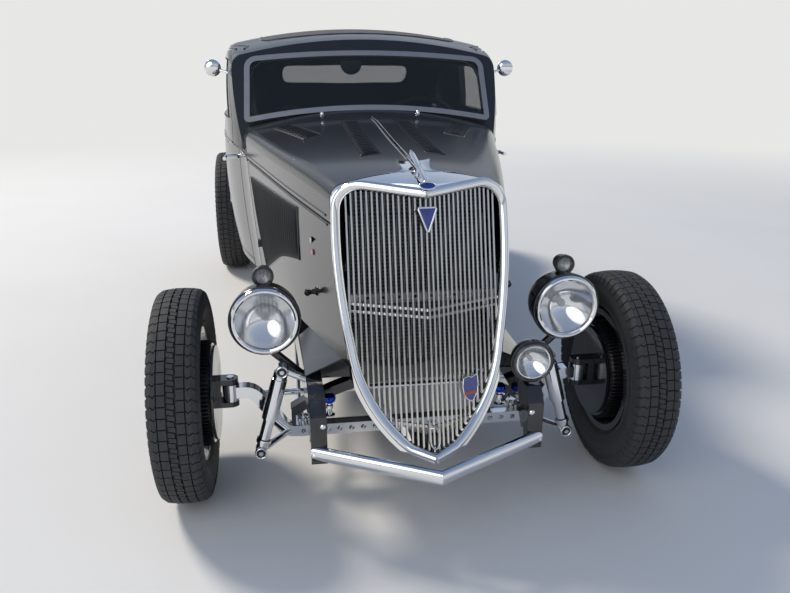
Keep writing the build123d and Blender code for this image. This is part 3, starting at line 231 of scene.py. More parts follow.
def lamp_glass():
    glass = Finish("lamp_glass", (0.9, 0.94, 0.98), 0.03, Coat_Weight=1.0, Coat_Roughness=0.02)
    flutes = glass.node("TexWave", {"bands_direction": "X"}, Vector=glass.place(), Scale=28.0, Distortion=0.4)
    glass.give("Base Color", glass.blend(flutes, (0.75, 0.82, 0.9), (0.97, 0.98, 1.0)))
    glass.give("Alpha", flutes * 0.05 + 0.06)
    glass.bump(flutes, 0.0006, 0.5)


def red_lens():
    lens = Finish("red_lens", (0.35, 0.004, 0.006), 0.1, Coat_Weight=0.8)
    cells = lens.cells(160.0)
    lens.give("Base Color", lens.blend(cells, (0.5, 0.008, 0.01), (0.16, 0.002, 0.004)))
    lens.bump(cells, 0.002, 0.6)


def radiator_core():
    """Fins and tubes as a fine pale lattice on black."""
    core = Finish("radiator_black", (0.03, 0.03, 0.03), 0.5, 0.4)
    x, _, z = core.split(core.place())
    fin, tube = (z * 85) % 1.0, (x * 84) % 1.0
    pattern = fin.between(0.62, 0.7) * 0.45 + tube.between(0.62, 0.7)
    core.give("Base Color", core.blend(pattern, (0.006, 0.007, 0.009), (0.19, 0.185, 0.17)))
    core.bump(pattern, 0.003)


satin_black()
lamp_glass()
red_lens()
radiator_core()
brushed_steel("polished_steel", 0.62, 0.16)
brushed_steel("pipe_steel", 0.32, 0.34)
plain_metal("reflector_silver", (0.86, 0.87, 0.88), 0.1, 12)
plain_metal("trim_grey", (0.36, 0.36, 0.365), 0.46)
plain_metal("drum_iron", (0.06, 0.06, 0.065), 0.5)
plain_metal("blue_anodised", (0.02, 0.07, 0.6), 0.18)
plain_metal("mirror_silver", (0.8, 0.82, 0.84), 0.07, 6)
clouded("chrome_plate", (0.88, 0.89, 0.91), (0.7, 0.71, 0.73), (9, 4), 0.015, 0.09, 1.0,
        grain=(35, 2, 0.0002, 0.25))
clouded("chassis_black", (0.009, 0.009, 0.011), (0.035, 0.034, 0.033), (14, 4), 0.1, 0.25, ramp=(0.45, 0.8),
        grain=(240, 2, 0.0001, 0.4), Coat_Weight=0.6, Coat_Roughness=0.05)
clouded("engine_iron", (0.07, 0.07, 0.075), (0.02, 0.018, 0.016), (8, 4), 0.68, -0.3, 0.6, ramp=(0.4, 0.75),
        grain=(420, 4, 0.0008, 1.0))
clouded("tyre_rubber", (0.02, 0.0205, 0.022), (0.04, 0.041, 0.043), (60, 5), 0.8, -0.15,
        grain=(900, 2, 0.0002, 0.6))
clouded("window_glass", (0.01, 0.013, 0.015), (0.03, 0.036, 0.04), (5, 3), 0.004, 0.04,
        Alpha=0.34, Coat_Weight=0.2)
clouded("bulb_glass", (0.16, 0.17, 0.19), (0.32, 0.34, 0.36), (60, 2), 0.02, 0.06, Alpha=0.5, Coat_Weight=0.5)
clouded("rubber_seal", (0.01, 0.01, 0.011), (0.03, 0.03, 0.031), (40, 3), 0.62, grain=(600, 2, 0.0002, 0.5))
clouded("floor_carpet", (0.012, 0.012, 0.013), (0.06, 0.058, 0.056), (900, 3), 0.95,
        grain=(900, 3, 0.002, 0.8))
clouded("dial_face", (0.46, 0.45, 0.4), (0.6, 0.59, 0.55), (50, 3), 0.4)
clouded("bare_plate", (0.66, 0.67, 0.68), (0.6, 0.6, 0.6), (3, 1), 0.3, 0.3, grain=(200, 2, 0.0002, 0.4))
clouded("steering_plastic", (0.01, 0.01, 0.01), (0.035, 0.034, 0.033), (12, 3), 0.22, 0.2,
        grain=(500, 2, 0.0002, 0.5))
# Darker, less reflective copies of the body paint, as painted shade: on the louvre fields, the side scoops,
# the hood's scoops and the grille channel's bolt holes
for name, rough, shine in (("louvre_black", 0.5, 0.12), ("scoop_black", 0.3, 0.4)):
    clouded(name, (0.004, 0.005, 0.007), (0.014, 0.016, 0.02), (9, 3), rough, 0.15,
            grain=(320, 2, 0.00015, 0.5), Specular_IOR_Level=shine)
for name, colour, dark in (("blue_enamel", (0.004, 0.03, 0.26), (0.003, 0.015, 0.14)),
                           ("red_enamel", (0.34, 0.006, 0.008), (0.2, 0.004, 0.006))):
    clouded(name, colour, dark, (90, 3), 0.12, grain=(300, 2, 0.00015, 0.4), Coat_Weight=1.0,
            Coat_Roughness=0.04)
hide = clouded("seat_leather", (0.014, 0.013, 0.012), (0.045, 0.04, 0.036), (7, 3), 0.36, 0.2)
hide.bump(hide.cells(420.0, "DISTANCE_TO_EDGE"), 0.0006, 0.7)
cloth = clouded("roof_cloth", (0.013, 0.013, 0.014), (0.035, 0.034, 0.033), (6, 3), 0.75, Sheen_Weight=0.2)
cloth.bump(cloth.cells(700.0), 0.0008, 0.8)
finishes["wheel_black"] = finishes["chassis_black"]

# The CAD nodes take the finish of their slot, apart from three
slots = [entry["slot"] for entry in record["materials"]]
slot_of_node = {part["node"]: part["material_slot"] for part in record["subparts"]}
other_finish = {"lamp_shells": "chassis_black", "windscreen_frame": "trim_grey", "floor_pan": "floor_carpet"}
for node_name, cad_object in nodes.items():
    finish = finishes[other_finish.get(node_name, slot_of_node[node_name])]
    for material_slot in cad_object.material_slots:
        material_slot.material = finish
    if not cad_object.material_slots:
        cad_object.data.materials.append(finish)

# Rounded edges on the parts that are folded, cast or plated: width and segments
edge_rounding = {
    "grille_shell": (0.005, 3), "frame_rail_left": (0.003, 2), "frame_rail_right": (0.003, 2),
    "cross_members": (0.003, 2), "windscreen_frame": (0.004, 3), "fuel_tank": (0.012, 4),
    "splash_aprons": (0.0012, 2), "lamp_stands": (0.002, 2), "tail_panel": (0.002, 2),
    "dashboard": (0.004, 3), "front_axle": (0.002, 2), "knuckle_left": (0.0015, 2),
    "knuckle_right": (0.0015, 2), "leaf_springs": (0.0012, 1),
}
for node_name, (width, segments) in edge_rounding.items():
    rounding = nodes[node_name].modifiers.new("edge_rounding", "BEVEL")
    rounding.width = width
    rounding.segments = segments
    rounding.limit_method = "ANGLE"
    rounding.angle_limit = radians(40)
    rounding.harden_normals = True
    rounding.use_clamp_overlap = True

# The record's slot for each finish that isn't one itself; any other falls to chassis_black
slot_of_finish = {
    "reflector_silver": "chrome_plate", "blue_anodised": "chrome_plate", "mirror_silver": "chrome_plate",
    "dial_face": "chrome_plate", "bare_plate": "chrome_plate", "trim_grey": "polished_steel",
    "drum_iron": "wheel_black", "bulb_glass": "lamp_glass", "louvre_black": "satin_black_paint",
    "scoop_black": "satin_black_paint",
}


class Mesh:
    """Collects vertices and faces for one piece, in the car's frame."""

    def __init__(self):
        self.vertices = []
        self.faces = []

    def hand_over(self, name, finish, body="chassis", smooth=True, slot=None):
        """Makes the piece, gives it its finish, and lets it ride on a body."""
        mesh = bpy.data.meshes.new(name)
        mesh.from_pydata([tuple(v) for v in self.vertices], [], self.faces)
        shape = bmesh.new()
        shape.from_mesh(mesh)
        bmesh.ops.remove_doubles(shape, verts=shape.verts, dist=0.00002)
        bmesh.ops.recalc_face_normals(shape, faces=shape.faces)
        shape.to_mesh(mesh)
        shape.free()
        made = bpy.data.objects.new(name, mesh)
        scene.collection.objects.link(made)
        mesh.materials.append(finishes[finish])
        if smooth:
            mesh.shade_smooth()
            mesh.set_sharp_from_angle(angle=radians(38))
        slot = slot or slot_of_finish.get(finish)
        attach(made, body)
        slot or (finish if finish in slots else "chassis_black")
        return made

    def add(self, points):
        first = len(self.vertices)
        self.vertices.extend(points)
        return list(range(first, len(self.vertices)))

    def grid(self, rows, close_rows=False, close_columns=False):
        """Quads between neighbouring rows of points."""
        ids = [self.add(row) for row in rows]
        count = len(ids[0])
        for i in range(len(ids) if close_rows else len(ids) - 1):
            upper, lower = ids[i], ids[(i + 1) % len(ids)]
            for j in range(count if close_columns else count - 1):
                k = (j + 1) % count
                self.faces.append((upper[j], upper[k], lower[k], lower[j]))
        return ids

    def lathe(self, profile, origin, axis, segments=48):
        """Turns (along, radius) pairs about a line through origin."""
        axis = Vector(axis).normalized()
        side = axis.orthogonal().normalized()
        other = axis.cross(side)
        rows = []
        for number in range(segments):
            spoke = side * cos(tau * number / segments) + other * sin(tau * number / segments)
            rows.append([Vector(origin) + axis * along + spoke * radius for along, radius in profile])
        self.grid(rows, close_rows=True)

    def swept(self, path, profile, ups, close=False):
        """Sweeps (sideways, upwards) pairs along a path; ups is one direction, or one a point."""
        rows = []
        count = len(path)
        for i, point in enumerate(path):
            before = path[i - 1] if i or close else path[i]
            after = path[(i + 1) % count] if i < count - 1 or close else path[i]
            tangent = (Vector(after) - Vector(before)).normalized()
            up = Vector(ups[i] if isinstance(ups, list) else ups)
            up = (up - tangent * up.dot(tangent)).normalized()
            side = tangent.cross(up)
            rows.append([Vector(point) + side * across + up * rise for across, rise in profile])
        ids = self.grid(rows, close_rows=close, close_columns=True)
        if not close:
            self.faces.append(tuple(ids[0]))
            self.faces.append(tuple(reversed(ids[-1])))

    def tube(self, points, radius, steps=6, sides=12):
        """A round bar that passes smoothly through the points."""
        self.swept(smooth_path(points, steps), ring(radius, sides), (0.31, 0.17, 0.93))

    def hexagon(self, centre, axis, across, thickness, bevel=0.15):
        """A hexagon nut or bolt head standing on centre."""
        radius = across / sqrt(3)
        edge = thickness * bevel
        self.lathe([(0, 0), (0, radius), (thickness - edge, radius), (thickness, radius - edge),
                    (thickness, 0)], centre, axis, 6)

    def slab(self, corners, direction, thickness):
        """A flat plate from its outline, thickened along a direction."""
        shift = Vector(direction).normalized() * thickness
        low = self.add([Vector(c) for c in corners])
        high = self.add([Vector(c) + shift for c in corners])
        self.faces.append(tuple(reversed(low)))
        self.faces.append(tuple(high))
        for i in range(len(corners)):
            j = (i + 1) % len(corners)
            self.faces.append((low[i], low[j], high[j], high[i]))


def turned(name, finish, profile, origin, axis, segments=48, body="chassis", slot=None):
    """A piece that is one turned shape."""
    made = Mesh()
    made.lathe(profile, origin, axis, segments)
    made.hand_over(name, finish, body, slot=slot)


def strip(name, finish, path, profile, ups, body="chassis", close=False):
    """A piece that is one section swept along a path."""
    made = Mesh()
    made.swept(path, profile, ups, close)
    made.hand_over(name, finish, body)


def ring(radius, sides=12):
    return [(radius * cos(tau * i / sides), radius * sin(tau * i / sides)) for i in range(sides)]


def rolled(along, radius, half_length, half_height, sides=10):
    """A lathe profile for a rolled rim: an oval round a point along and out."""
    return [(along + half_length * cos(tau * i / sides), radius + half_height * sin(tau * i / sides))
            for i in range(sides + 1)]


def half_round(half_width, height, sides=6, foot=0.002):
    """A moulding's section: flat at the foot, below the surface, and rounded above."""
    top = [(half_width * cos(pi * i / sides), height * sin(pi * i / sides)) for i in range(sides + 1)]
    return top + [(-half_width, -foot), (half_width, -foot)]


def smooth_path(points, steps=6, close=False):
    """A curve through the points, with steps pieces between neighbours."""
    points = [Vector(p) for p in points]
    if len(points) < 3 or steps < 2:
        return points
    count = len(points)
    path = []
    for i in range(count if close else count - 1):
        if close:
            a, b, c, d = (points[(i + k) % count] for k in (-1, 0, 1, 2))
        else:
            a, b, c, d = (points[min(max(i + k, 0), count - 1)] for k in (-1, 0, 1, 2))
        for step in range(steps):
            t = step / steps
            path.append(0.5 * (2 * b + (c - a) * t + (2 * a - 5 * b + 4 * c - d) * t ** 2
                               + (3 * b - a - 3 * c + d) * t ** 3))
    if not close:
        path.append(points[-1])
    return path


def surface_of(*names):
    """A search tree over CAD nodes, for the pieces that lie on them."""
    points, polygons = [], []
    for name in names:
        first = len(points)
        points.extend(v.co.copy() for v in nodes[name].data.vertices)
        polygons.extend([first + i for i in p.vertices] for p in nodes[name].data.polygons)
    return BVHTree.FromPolygons(points, polygons)


def lay(tree, point, direction):
    """Where a line through a point first meets a surface, and the outward normal there."""
    direction = Vector(direction).normalized()
    place, normal, _, _ = tree.ray_cast(Vector(point) - direction * 0.5, direction)
    if place is None:
        place, normal, _, _ = tree.find_nearest(Vector(point))
    return place, (-normal if normal.dot(direction) > 0 else normal)


def lay_all(tree, points, direction):
    """The places of several points on a surface, and the normals there, as two lists."""
    found = [lay(tree, point, direction) for point in points]
    return [place for place, _ in found], [normal for _, normal in found]


leaves = {side: surface_of(f"hood_{word}") for side, word in SIDES}
flank = surface_of("hood_sides")
cowl_skin = surface_of("cowl")
roof_skin = surface_of("roof")

# Tyres: a carcass with bead, sidewall rings and shoulder, and separate tread blocks
TREAD_DEPTH, CROWN_DROP, SHOULDER_WIDTH = 0.008, 0.006, 0.016
BEAD_RADIUS, FLANGE_RADIUS = 0.2034, 0.216
GROOVE, SIPE, BLOCK_FLARE = 0.0042, 0.0016, 0.0012
TREAD_HALF_OF_PATTERN = 0.0595


def tyre(where, side, word):
    axle_y, half_track, radius, width, rim_width, pitches = WHEELS[where]
    half = width / 2
    tread = half - SHOULDER_WIDTH
    bead = rim_width / 2 - 0.0073
    middle = (FLANGE_RADIUS + radius) / 2

    def skin(across):
        """Outer radius of the tyre at a distance across from its middle."""
        distance = abs(across)
        if distance <= tread:
            return radius - CROWN_DROP * (distance / tread) ** 2
        share = min((distance - tread) / (half - tread), 1)
        return radius - CROWN_DROP - (radius - CROWN_DROP - middle) * (1 - sqrt(max(1 - share ** 2, 0)))

    mesh = Mesh()
    wall = [(bead, BEAD_RADIUS), (bead, FLANGE_RADIUS + 0.002),
            (bead + 0.55 * (half - bead), FLANGE_RADIUS + 0.014)]
    for share in (0.25, 0.4, 0.5, 0.52, 0.56, 0.58, 0.7, 0.8):
        raised = 0.0012 if share in (0.52, 0.56) else 0
        wall.append((bead + (half - bead) * sin(share * pi / 2),
                     FLANGE_RADIUS + 0.004 + (middle - FLANGE_RADIUS) * share * 1.08 + raised))
    wall.append((half - 0.0008, middle + 0.004))
    for share in (0.85, 0.6, 0.3, 0.0):
        across = tread + (half - tread) * share
        wall.append((across - 0.003, skin(across) - 0.004))
    floor = [(tread * t, skin(tread * t) - TREAD_DEPTH) for t in (0.95, 0.6, 0.2, -0.2, -0.6, -0.95)]
    centre = (side * half_track, axle_y, radius)
    mesh.lathe(wall + floor + [(-a, r) for a, r in reversed(wall)], centre, ACROSS, 120)

    def spot(across, around, depth=0.0):
        angle = around / radius
        reach = skin(across) - depth
        return (centre[0] + across, centre[1] + reach * cos(angle), centre[2] + reach * sin(angle))

    def block(stations, lean, half_lengths, around):
        """A tread block across the stations, whose middle line is moved along by lean."""
        top, low = [], []
        for across, shift, half_length in zip(stations, lean, half_lengths):
            for end in (-1, 1):
                top.append(spot(across, around + shift + end * half_length))
                low.append(spot(across, around + shift + end * (half_length + BLOCK_FLARE), TREAD_DEPTH))
        t, b = mesh.add(top), mesh.add(low)
        last = len(stations) - 1
        for i in range(0, 2 * last, 2):
            mesh.faces.append((t[i], t[i + 1], t[i + 3], t[i + 2]))
            for e in (i, i + 1):
                mesh.faces.append((t[e], t[e + 2], b[e + 2], b[e]))
        for i in (0, 2 * last):
            mesh.faces.append((t[i], t[i + 1], b[i + 1], b[i]))

    pitch = tau * radius / pitches
    scale = tread / TREAD_HALF_OF_PATTERN
    block_half = (pitch - GROOVE) / 2
    lug = [0.0405 * scale, 0.047 * scale, tread * 0.93, tread + 0.008, half - 0.003]
    row = [0.0145 * scale, 0.026 * scale, 0.037 * scale]
    rib, step = 0.0108 * scale, 0.0028 * scale
    for number in range(pitches):
        around = number * pitch
        for hand in (-1, 1):
            shift = pitch * (0.5 if hand > 0 else 0.0)
            block([hand * a for a in lug], [shift + lean for lean in (-0.002, 0.006, -0.001, 0.005, 0.004)],
                  [block_half] * 3 + [block_half * 0.92, block_half * 0.6], around)
            block([hand * a for a in row], [shift] * 3, [block_half] * 3, around)
        for ends, place in (((-rib, rib - step), around), ((-rib + step, rib), around + pitch / 2)):
            block(ends, (-0.002, 0.002), [pitch / 4 - SIPE] * 2, place)
    name = f"tyre_{where}_{word}_tread"
    made = mesh.hand_over(name, "tyre_rubber", f"wheel_{where}_{word}", smooth=False)
    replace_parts(made, name.replace("_tread", ""))


for side, word in SIDES:
    for where in WHEELS:
        tyre(where, side, word)

# Lamps: a dark lip, a bezel, a bowl and a bulb behind each clear lens
HEADLAMP, DRIVING_LAMP, SIGNAL_LAMP = (463, -170, 638), (319, -300, 516), (463, -136, 764)
HEADLAMP_RADIUS, DRIVING_LAMP_RADIUS, SIGNAL_LAMP_RADIUS = 0.102, 0.062, 0.027


def lamp_inside(name, place, radius, rim_finish="chrome_plate", bowl_finish="reflector_silver"):
    """What shows at the mouth of a lamp; the headlamp's sections, made smaller for the other lamps."""
    rim = radius + 0.004
    k = radius / HEADLAMP_RADIUS
    turned(name + "_lip", "chassis_black",
           [(0.013, rim - 0.003), (0.011, rim + 0.0006), (-0.001, rim + 0.0008), (-0.0035 * k, rim - 0.0008),
            (-0.0035 * k, rim - 0.003 * k), (0.002, rim - 0.0048 * k), (0.013, rim - 0.0048 * k)],
           place, BACK, 96)
    turned(name + "_bezel", rim_finish,
           [(0.008, rim - 0.0065 * k), (0.004, rim - 0.0038 * k), (-0.004 * k, rim - 0.0034 * k),
            (-0.010 * k, rim - 0.0055 * k), (-0.0145 * k, rim - 0.010 * k), (-0.015 * k, rim - 0.0148 * k),
            (-0.012 * k, rim - 0.019 * k), (-0.006 * k, rim - 0.0205 * k), (0.001, rim - 0.0205 * k)],
           place, BACK, 96)
    mouth, depth = rim - 0.012 * k, 0.063 * k
    turned(name + "_bowl", bowl_finish,
           [(0.007 + depth * (1 - (i / 12) ** 2), mouth * i / 12) for i in range(12, -1, -1)],
           place, BACK, 72, slot="chrome_plate")
    turned(name + "_bulb", "bulb_glass",
           [(0.072 * k, 0.011 * k), (0.056 * k, 0.011 * k), (0.056 * k, 0.006 * k), (0.048 * k, 0.0125 * k),
            (0.040 * k, 0.0135 * k), (0.032 * k, 0.0105 * k), (0.027 * k, 0.004 * k), (0.026 * k, 0)],
           place, BACK, 24)


for side, word in SIDES:
    lamp_inside(f"headlamp_{word}", on_side(side, [HEADLAMP])[0], HEADLAMP_RADIUS)
    lamp_inside(f"signal_lamp_{word}", on_side(side, [SIGNAL_LAMP])[0], SIGNAL_LAMP_RADIUS, "chassis_black",
                "pipe_steel")
lamp_inside("driving_lamp", here(*DRIVING_LAMP), DRIVING_LAMP_RADIUS, "chassis_black")
turned("driving_lamp_inner_trim", "chrome_plate", rolled(-0.0075, 0.0505, 0.0022, 0.0022, 8),
       here(*DRIVING_LAMP), BACK)

# Grille surround: rounded mouldings that follow the outline of the opening over the V face
RAKE, VEE, NOSE_STATION = 0.286, 0.42, -246


def on_vee(x, z, lift=0.0):
    """A point on the V-shaped raked face of the shell, from x and z in millimetres."""
    return here(x, NOSE_STATION + VEE * abs(x) + RAKE * (z - 1000) - lift, z)


def arc_through(a, b, c, steps):
    """Points on the circle from a through b to c."""
    (ax, ay), (bx, by), (cx, cy) = a, b, c
    d = 2 * (ax * (by - cy) + bx * (cy - ay) + cx * (ay - by))
    aa, bb, cc = ax ** 2 + ay ** 2, bx ** 2 + by ** 2, cx ** 2 + cy ** 2
    ux = (aa * (by - cy) + bb * (cy - ay) + cc * (ay - by)) / d
    uy = (aa * (cx - bx) + bb * (ax - cx) + cc * (bx - ax)) / d
    radius = sqrt((ax - ux) ** 2 + (ay - uy) ** 2)
    start, end = atan2(ay - uy, ax - ux), atan2(cy - uy, cx - ux)
    if end - start > pi:
        end -= tau
    if start - end > pi:
        end += tau
    angles = [start + (end - start) * i / steps for i in range(steps + 1)]
    return [(ux + radius * cos(angle), uy + radius * sin(angle)) for angle in angles]


def opening_outline():
    """The left half of the grille opening from the top middle down to the point, as x and z."""
    corner = [(172 + 64 * sin(pi / 2 * i / 8), 958 + 62 * cos(pi / 2 * i / 8)) for i in range(9)]
    sides = arc_through((236, 958), (237, 850), (206, 580), 14)[1:]
    hips = arc_through((206, 580), (152, 428), (60, 330), 10)[1:]
    return [(0, 1005), (60, 1010), (120, 1016)] + corner + sides + hips + [(30, 321), (0, 312)]


def outward(outline, distance):
    """The outline moved outwards in its own plane."""
    moved = []
    last = len(outline) - 1
    for i, (x, z) in enumerate(outline):
        before, after = outline[max(i - 1, 0)], outline[min(i + 1, last)]
        along = Vector((after[0] - before[0], after[1] - before[1])).normalized()
        moved.append((max(x - along.y * distance, 0) if 0 < i < last else 0, z + along.x * distance))
    return moved


for name, finish, distance, section in (
        ("grille_surround", "chrome_plate", 12.5, half_round(0.0135, 0.0085, 10)),
        ("grille_inner_bead", "polished_steel", 1.5, half_round(0.003, 0.0045))):
    moulding = Mesh()
    for side, _ in SIDES:
        path = [on_vee(side * x, z) for x, z in outward(opening_outline(), distance)]
        moulding.swept(path, section, (-side * VEE, -1, RAKE))
    moulding.hand_over(name, finish)

# A straight channel across the opening, behind the bars, with rolled edges and bolt holes
CHANNEL_STATION, CHANNEL_Z, CHANNEL_END_GAP, HOLE_PITCH = -214, 709, 10, 23.5
outline = opening_outline()
opening_half = next(a[0] + (b[0] - a[0]) * (a[1] - CHANNEL_Z) / (a[1] - b[1])
                    for a, b in zip(outline[7:], outline[8:]) if b[1] <= CHANNEL_Z < a[1])
strip("grille_channel", "trim_grey",
      [here(hand * (opening_half - CHANNEL_END_GAP), CHANNEL_STATION, CHANNEL_Z) for hand in (-1, 1)],
      [(-0.015, -0.002), (-0.0155, 0.004), (-0.0145, 0.0055), (-0.0125, 0.0045), (-0.0115, 0.0005),
       (0.0115, 0.0005), (0.0125, 0.0045), (0.0145, 0.0055), (0.0155, 0.004), (0.015, -0.002)], -BACK)
# The bolt holes are dark discs on the channel's face, painted shade where the holes would open
holes = Mesh()
for number in range(-8, 9):
    holes.lathe([(-0.0005, 0.0046), (0.0009, 0.0046), (0.0004, 0.0038), (0.0003, 0)],
                here(number * HOLE_PITCH, CHANNEL_STATION - 0.4, CHANNEL_Z), -BACK, 16)
holes.hand_over("grille_channel_holes", "louvre_black", slot="chassis_black")

# Hand crank guide: a wire loop low in the grille
crank_loop = Mesh()
crank_loop.tube([on_vee(x, z, lift) for x, z, lift in (
    (-13, 400, 4), (-13, 362, 6), (-12, 342, 6), (-5, 331, 6), (5, 331, 6), (12, 342, 6), (13, 362, 6),
    (13, 400, 4))], 0.0028, 5, 10)
crank_loop.tube([on_vee(-13, 384, 6), on_vee(0, 386, 6), on_vee(13, 384, 6)], 0.0022, 3, 8)
crank_loop.hand_over("crank_guide", "polished_steel")

# Badges: a bare blue triangle and a bare shield on the grille, and a bare oval on the crown of the shell
VEE_NORMAL = Vector((0, -1, RAKE)).normalized()
BADGE_UP = Vector((0, RAKE, 1)).normalized()


def badge(name, centre, outline, rim, thickness=0.005, normal=VEE_NORMAL, up=BADGE_UP, side=ACROSS):
    """A flat badge: a rounded bright rim round a blue enamel field, both standing on a backing."""
    spots = [centre + side * (u / 1000) + up * (v / 1000) for u, v in outline]
    middle = sum(spots, Vector()) / len(spots)
    edge = Mesh()
    section = [(across, thickness + rise * 0.8) for across, rise in ring(rim, 10)]
    edge.swept(spots, section, normal, close=True)
    edge.slab([middle + (s - middle) * 0.99 for s in spots], normal, thickness * 0.6)
    edge.hand_over(name + "_rim", "chrome_plate")
    field = Mesh()
    field.grid([[middle + (s - middle) * share + normal * (thickness + 0.0012 * (1 - share)) for s in spots]
                for share in (1.0, 0.7, 0.35, 0.02)], close_columns=True)
    field.hand_over(name + "_field", "blue_enamel")


triangle = [(-27, 28), (27, 28), (0, -44)]
badge("grille_triangle", on_vee(0, 952, 3),
      [(ax + (bx - ax) * t, az + (bz - az) * t)
       for (ax, az), (bx, bz) in zip(triangle, triangle[1:] + triangle[:1])
       for t in (0.06, 0.35, 0.65, 0.94)], 0.0026)
shield = [(-25, 30), (-14, 36), (0, 30), (14, 36), (25, 30), (27, 6), (24, -14), (14, -28), (0, -40),
          (-14, -28), (-24, -14), (-27, 6)]
shield_normal = Vector((-VEE, -1, RAKE)).normalized()
shield_side = Vector((1, VEE, 0)).normalized()
shield_middle = on_vee(118, 470, 6)
badge("grille_shield", shield_middle, shield, 0.0018, normal=shield_normal, side=shield_side)
shield_band = Mesh()
shield_band.slab([shield_middle + shield_side * (u / 1000) + BADGE_UP * (v / 1000) + shield_normal * 0.0062
                  for u, v in ((-24, -8), (24, -8), (22, -18), (-22, -18))], shield_normal, 0.0012)
shield_band.hand_over("grille_shield_band", "red_enamel", smooth=False)
crown = surface_of("grille_shell", "hood_left", "hood_right", "hood_hinge")
crown_front, _ = lay(crown, here(1, -240, 1030), BACK)
badge("crown_oval", Vector((0, crown_front.y - 0.016, 1.036)),
      [(23 * cos(tau * i / 24), 11.5 * sin(tau * i / 24)) for i in range(24)], 0.0022, 0.010,
      normal=Vector((0, -0.8, 0.6)).normalized(), up=Vector((0, 0.6, 0.8)).normalized())

# Hood ornament: a neck that widens as it rises over the hinge, so that the leaves swing clear of its head.
# By station: the heights of its underside and top, and the half widths of both
NECK = [(-250, 1036, 1043, 11, 5), (-228, 1045, 1056, 14, 8), (-190, 1049, 1066, 16, 9),
        (-155, 1052, 1072, 15, 9.5), (-134, 1058, 1076, 9, 9), (-126, 1067, 1079, 5, 8.5),
        (-118, 1075, 1082, 3.6, 8.5), (-95, 1077, 1087, 3.4, 9.5), (-65, 1080, 1092, 3.2, 9.6),
        (-35, 1083, 1098, 3.0, 9.9), (-14, 1085, 1102, 2.8, 10.2), (0, 1088, 1104, 2.5, 8.4),
        (12, 1093, 1106, 2.0, 5), (20, 1099, 1107, 1.2, 1.8)]
NECK_TOP = ((1, 0.56), (0.96, 0.46), (0.6, 0.2), (0.14, 0.1), (0, -0.1), (-0.14, 0.1), (-0.6, 0.2),
            (-0.96, 0.46), (-1, 0.56))
neck = Mesh()
rows = neck.grid([[here(u * low_half, s, low) for u in (-1, 0, 1)]
                  + [here(u * top_half, s, high - drop * top_half) for u, drop in NECK_TOP]
                  for s, low, high, low_half, top_half in NECK], close_columns=True)
neck.faces += [tuple(rows[0]), tuple(rows[-1])]
neck.hand_over("hood_ornament_neck", "chrome_plate")

# Its wings: one on each half of the hood, swept back and dished beside the neck
WING_ROWS, WING_COLUMNS, WING_INNER_X, WING_FRONT = 20, 12, 8, -118
for side, word in SIDES:
    wing = Mesh()
    rows = []
    for t in range(WING_ROWS + 1):
        share_back = t / WING_ROWS
        outer_x = 33 + 17 * share_back + 80 * (1 - share_back) ** 8
        top_row, low_row = [], []
        for k in range(WING_COLUMNS + 1):
            share = k / WING_COLUMNS
            x = WING_INNER_X + (outer_x - WING_INNER_X) * share
            station = WING_FRONT + (146 - 50 * share ** 1.5) * share_back
            place, normal = lay(leaves[side], here(side * x, station, 1060), -UP)
            curl = min(max((x - 17) / 33, 0), 1)
            rise = 0.0018 + 0.016 * share_back ** 1.4 * curl ** 1.8
            top_row.append(place + normal * rise)
            low_row.append(place - normal * 0.0004)
        rows.append(top_row + low_row[::-1])
    ids = wing.grid(rows, close_columns=True)
    for end in (ids[0], ids[-1]):
        wing.faces += [(end[k], end[k + 1], end[-2 - k], end[-1 - k]) for k in range(WING_COLUMNS)]
    wing.hand_over(f"saddle_wing_{word}", "chrome_plate", f"hood_{word}")

# Louvre panels: a pressed field darkened with painted shade, in a fine bead, with rows of scoops darkened
# with painted shade too.
# On the hood: how many scoops, and the two edges of the panel on the left side
HOOD_LOUVRES = {"inner": (24, ((73, 168, 1080), (74, 530, 1100), (76, 895, 1120)),
                          ((139, 150, 1080), (141, 530, 1100), (143, 895, 1120))),
                "outer": (12, ((240, 640, 1080), (292, 800, 1080), (350, 965, 1080)),
                          ((310, 600, 1060), (368, 780, 1060), (430, 950, 1060)))}
SIDE_LOUVRES = (((328, 196, 903), (400, 452, 900), (470, 712, 897), (529, 962, 894)),
                ((315, 196, 722), (389, 452, 668), (430, 670, 588), (488, 882, 505)))
SCOOP_SECTION = ((0.0, 0.0), (0.35, 0.55), (0.66, 0.96), (0.78, 1.0), (0.84, 0.9), (0.86, 0.0))
SCOOP_STEPS = 8


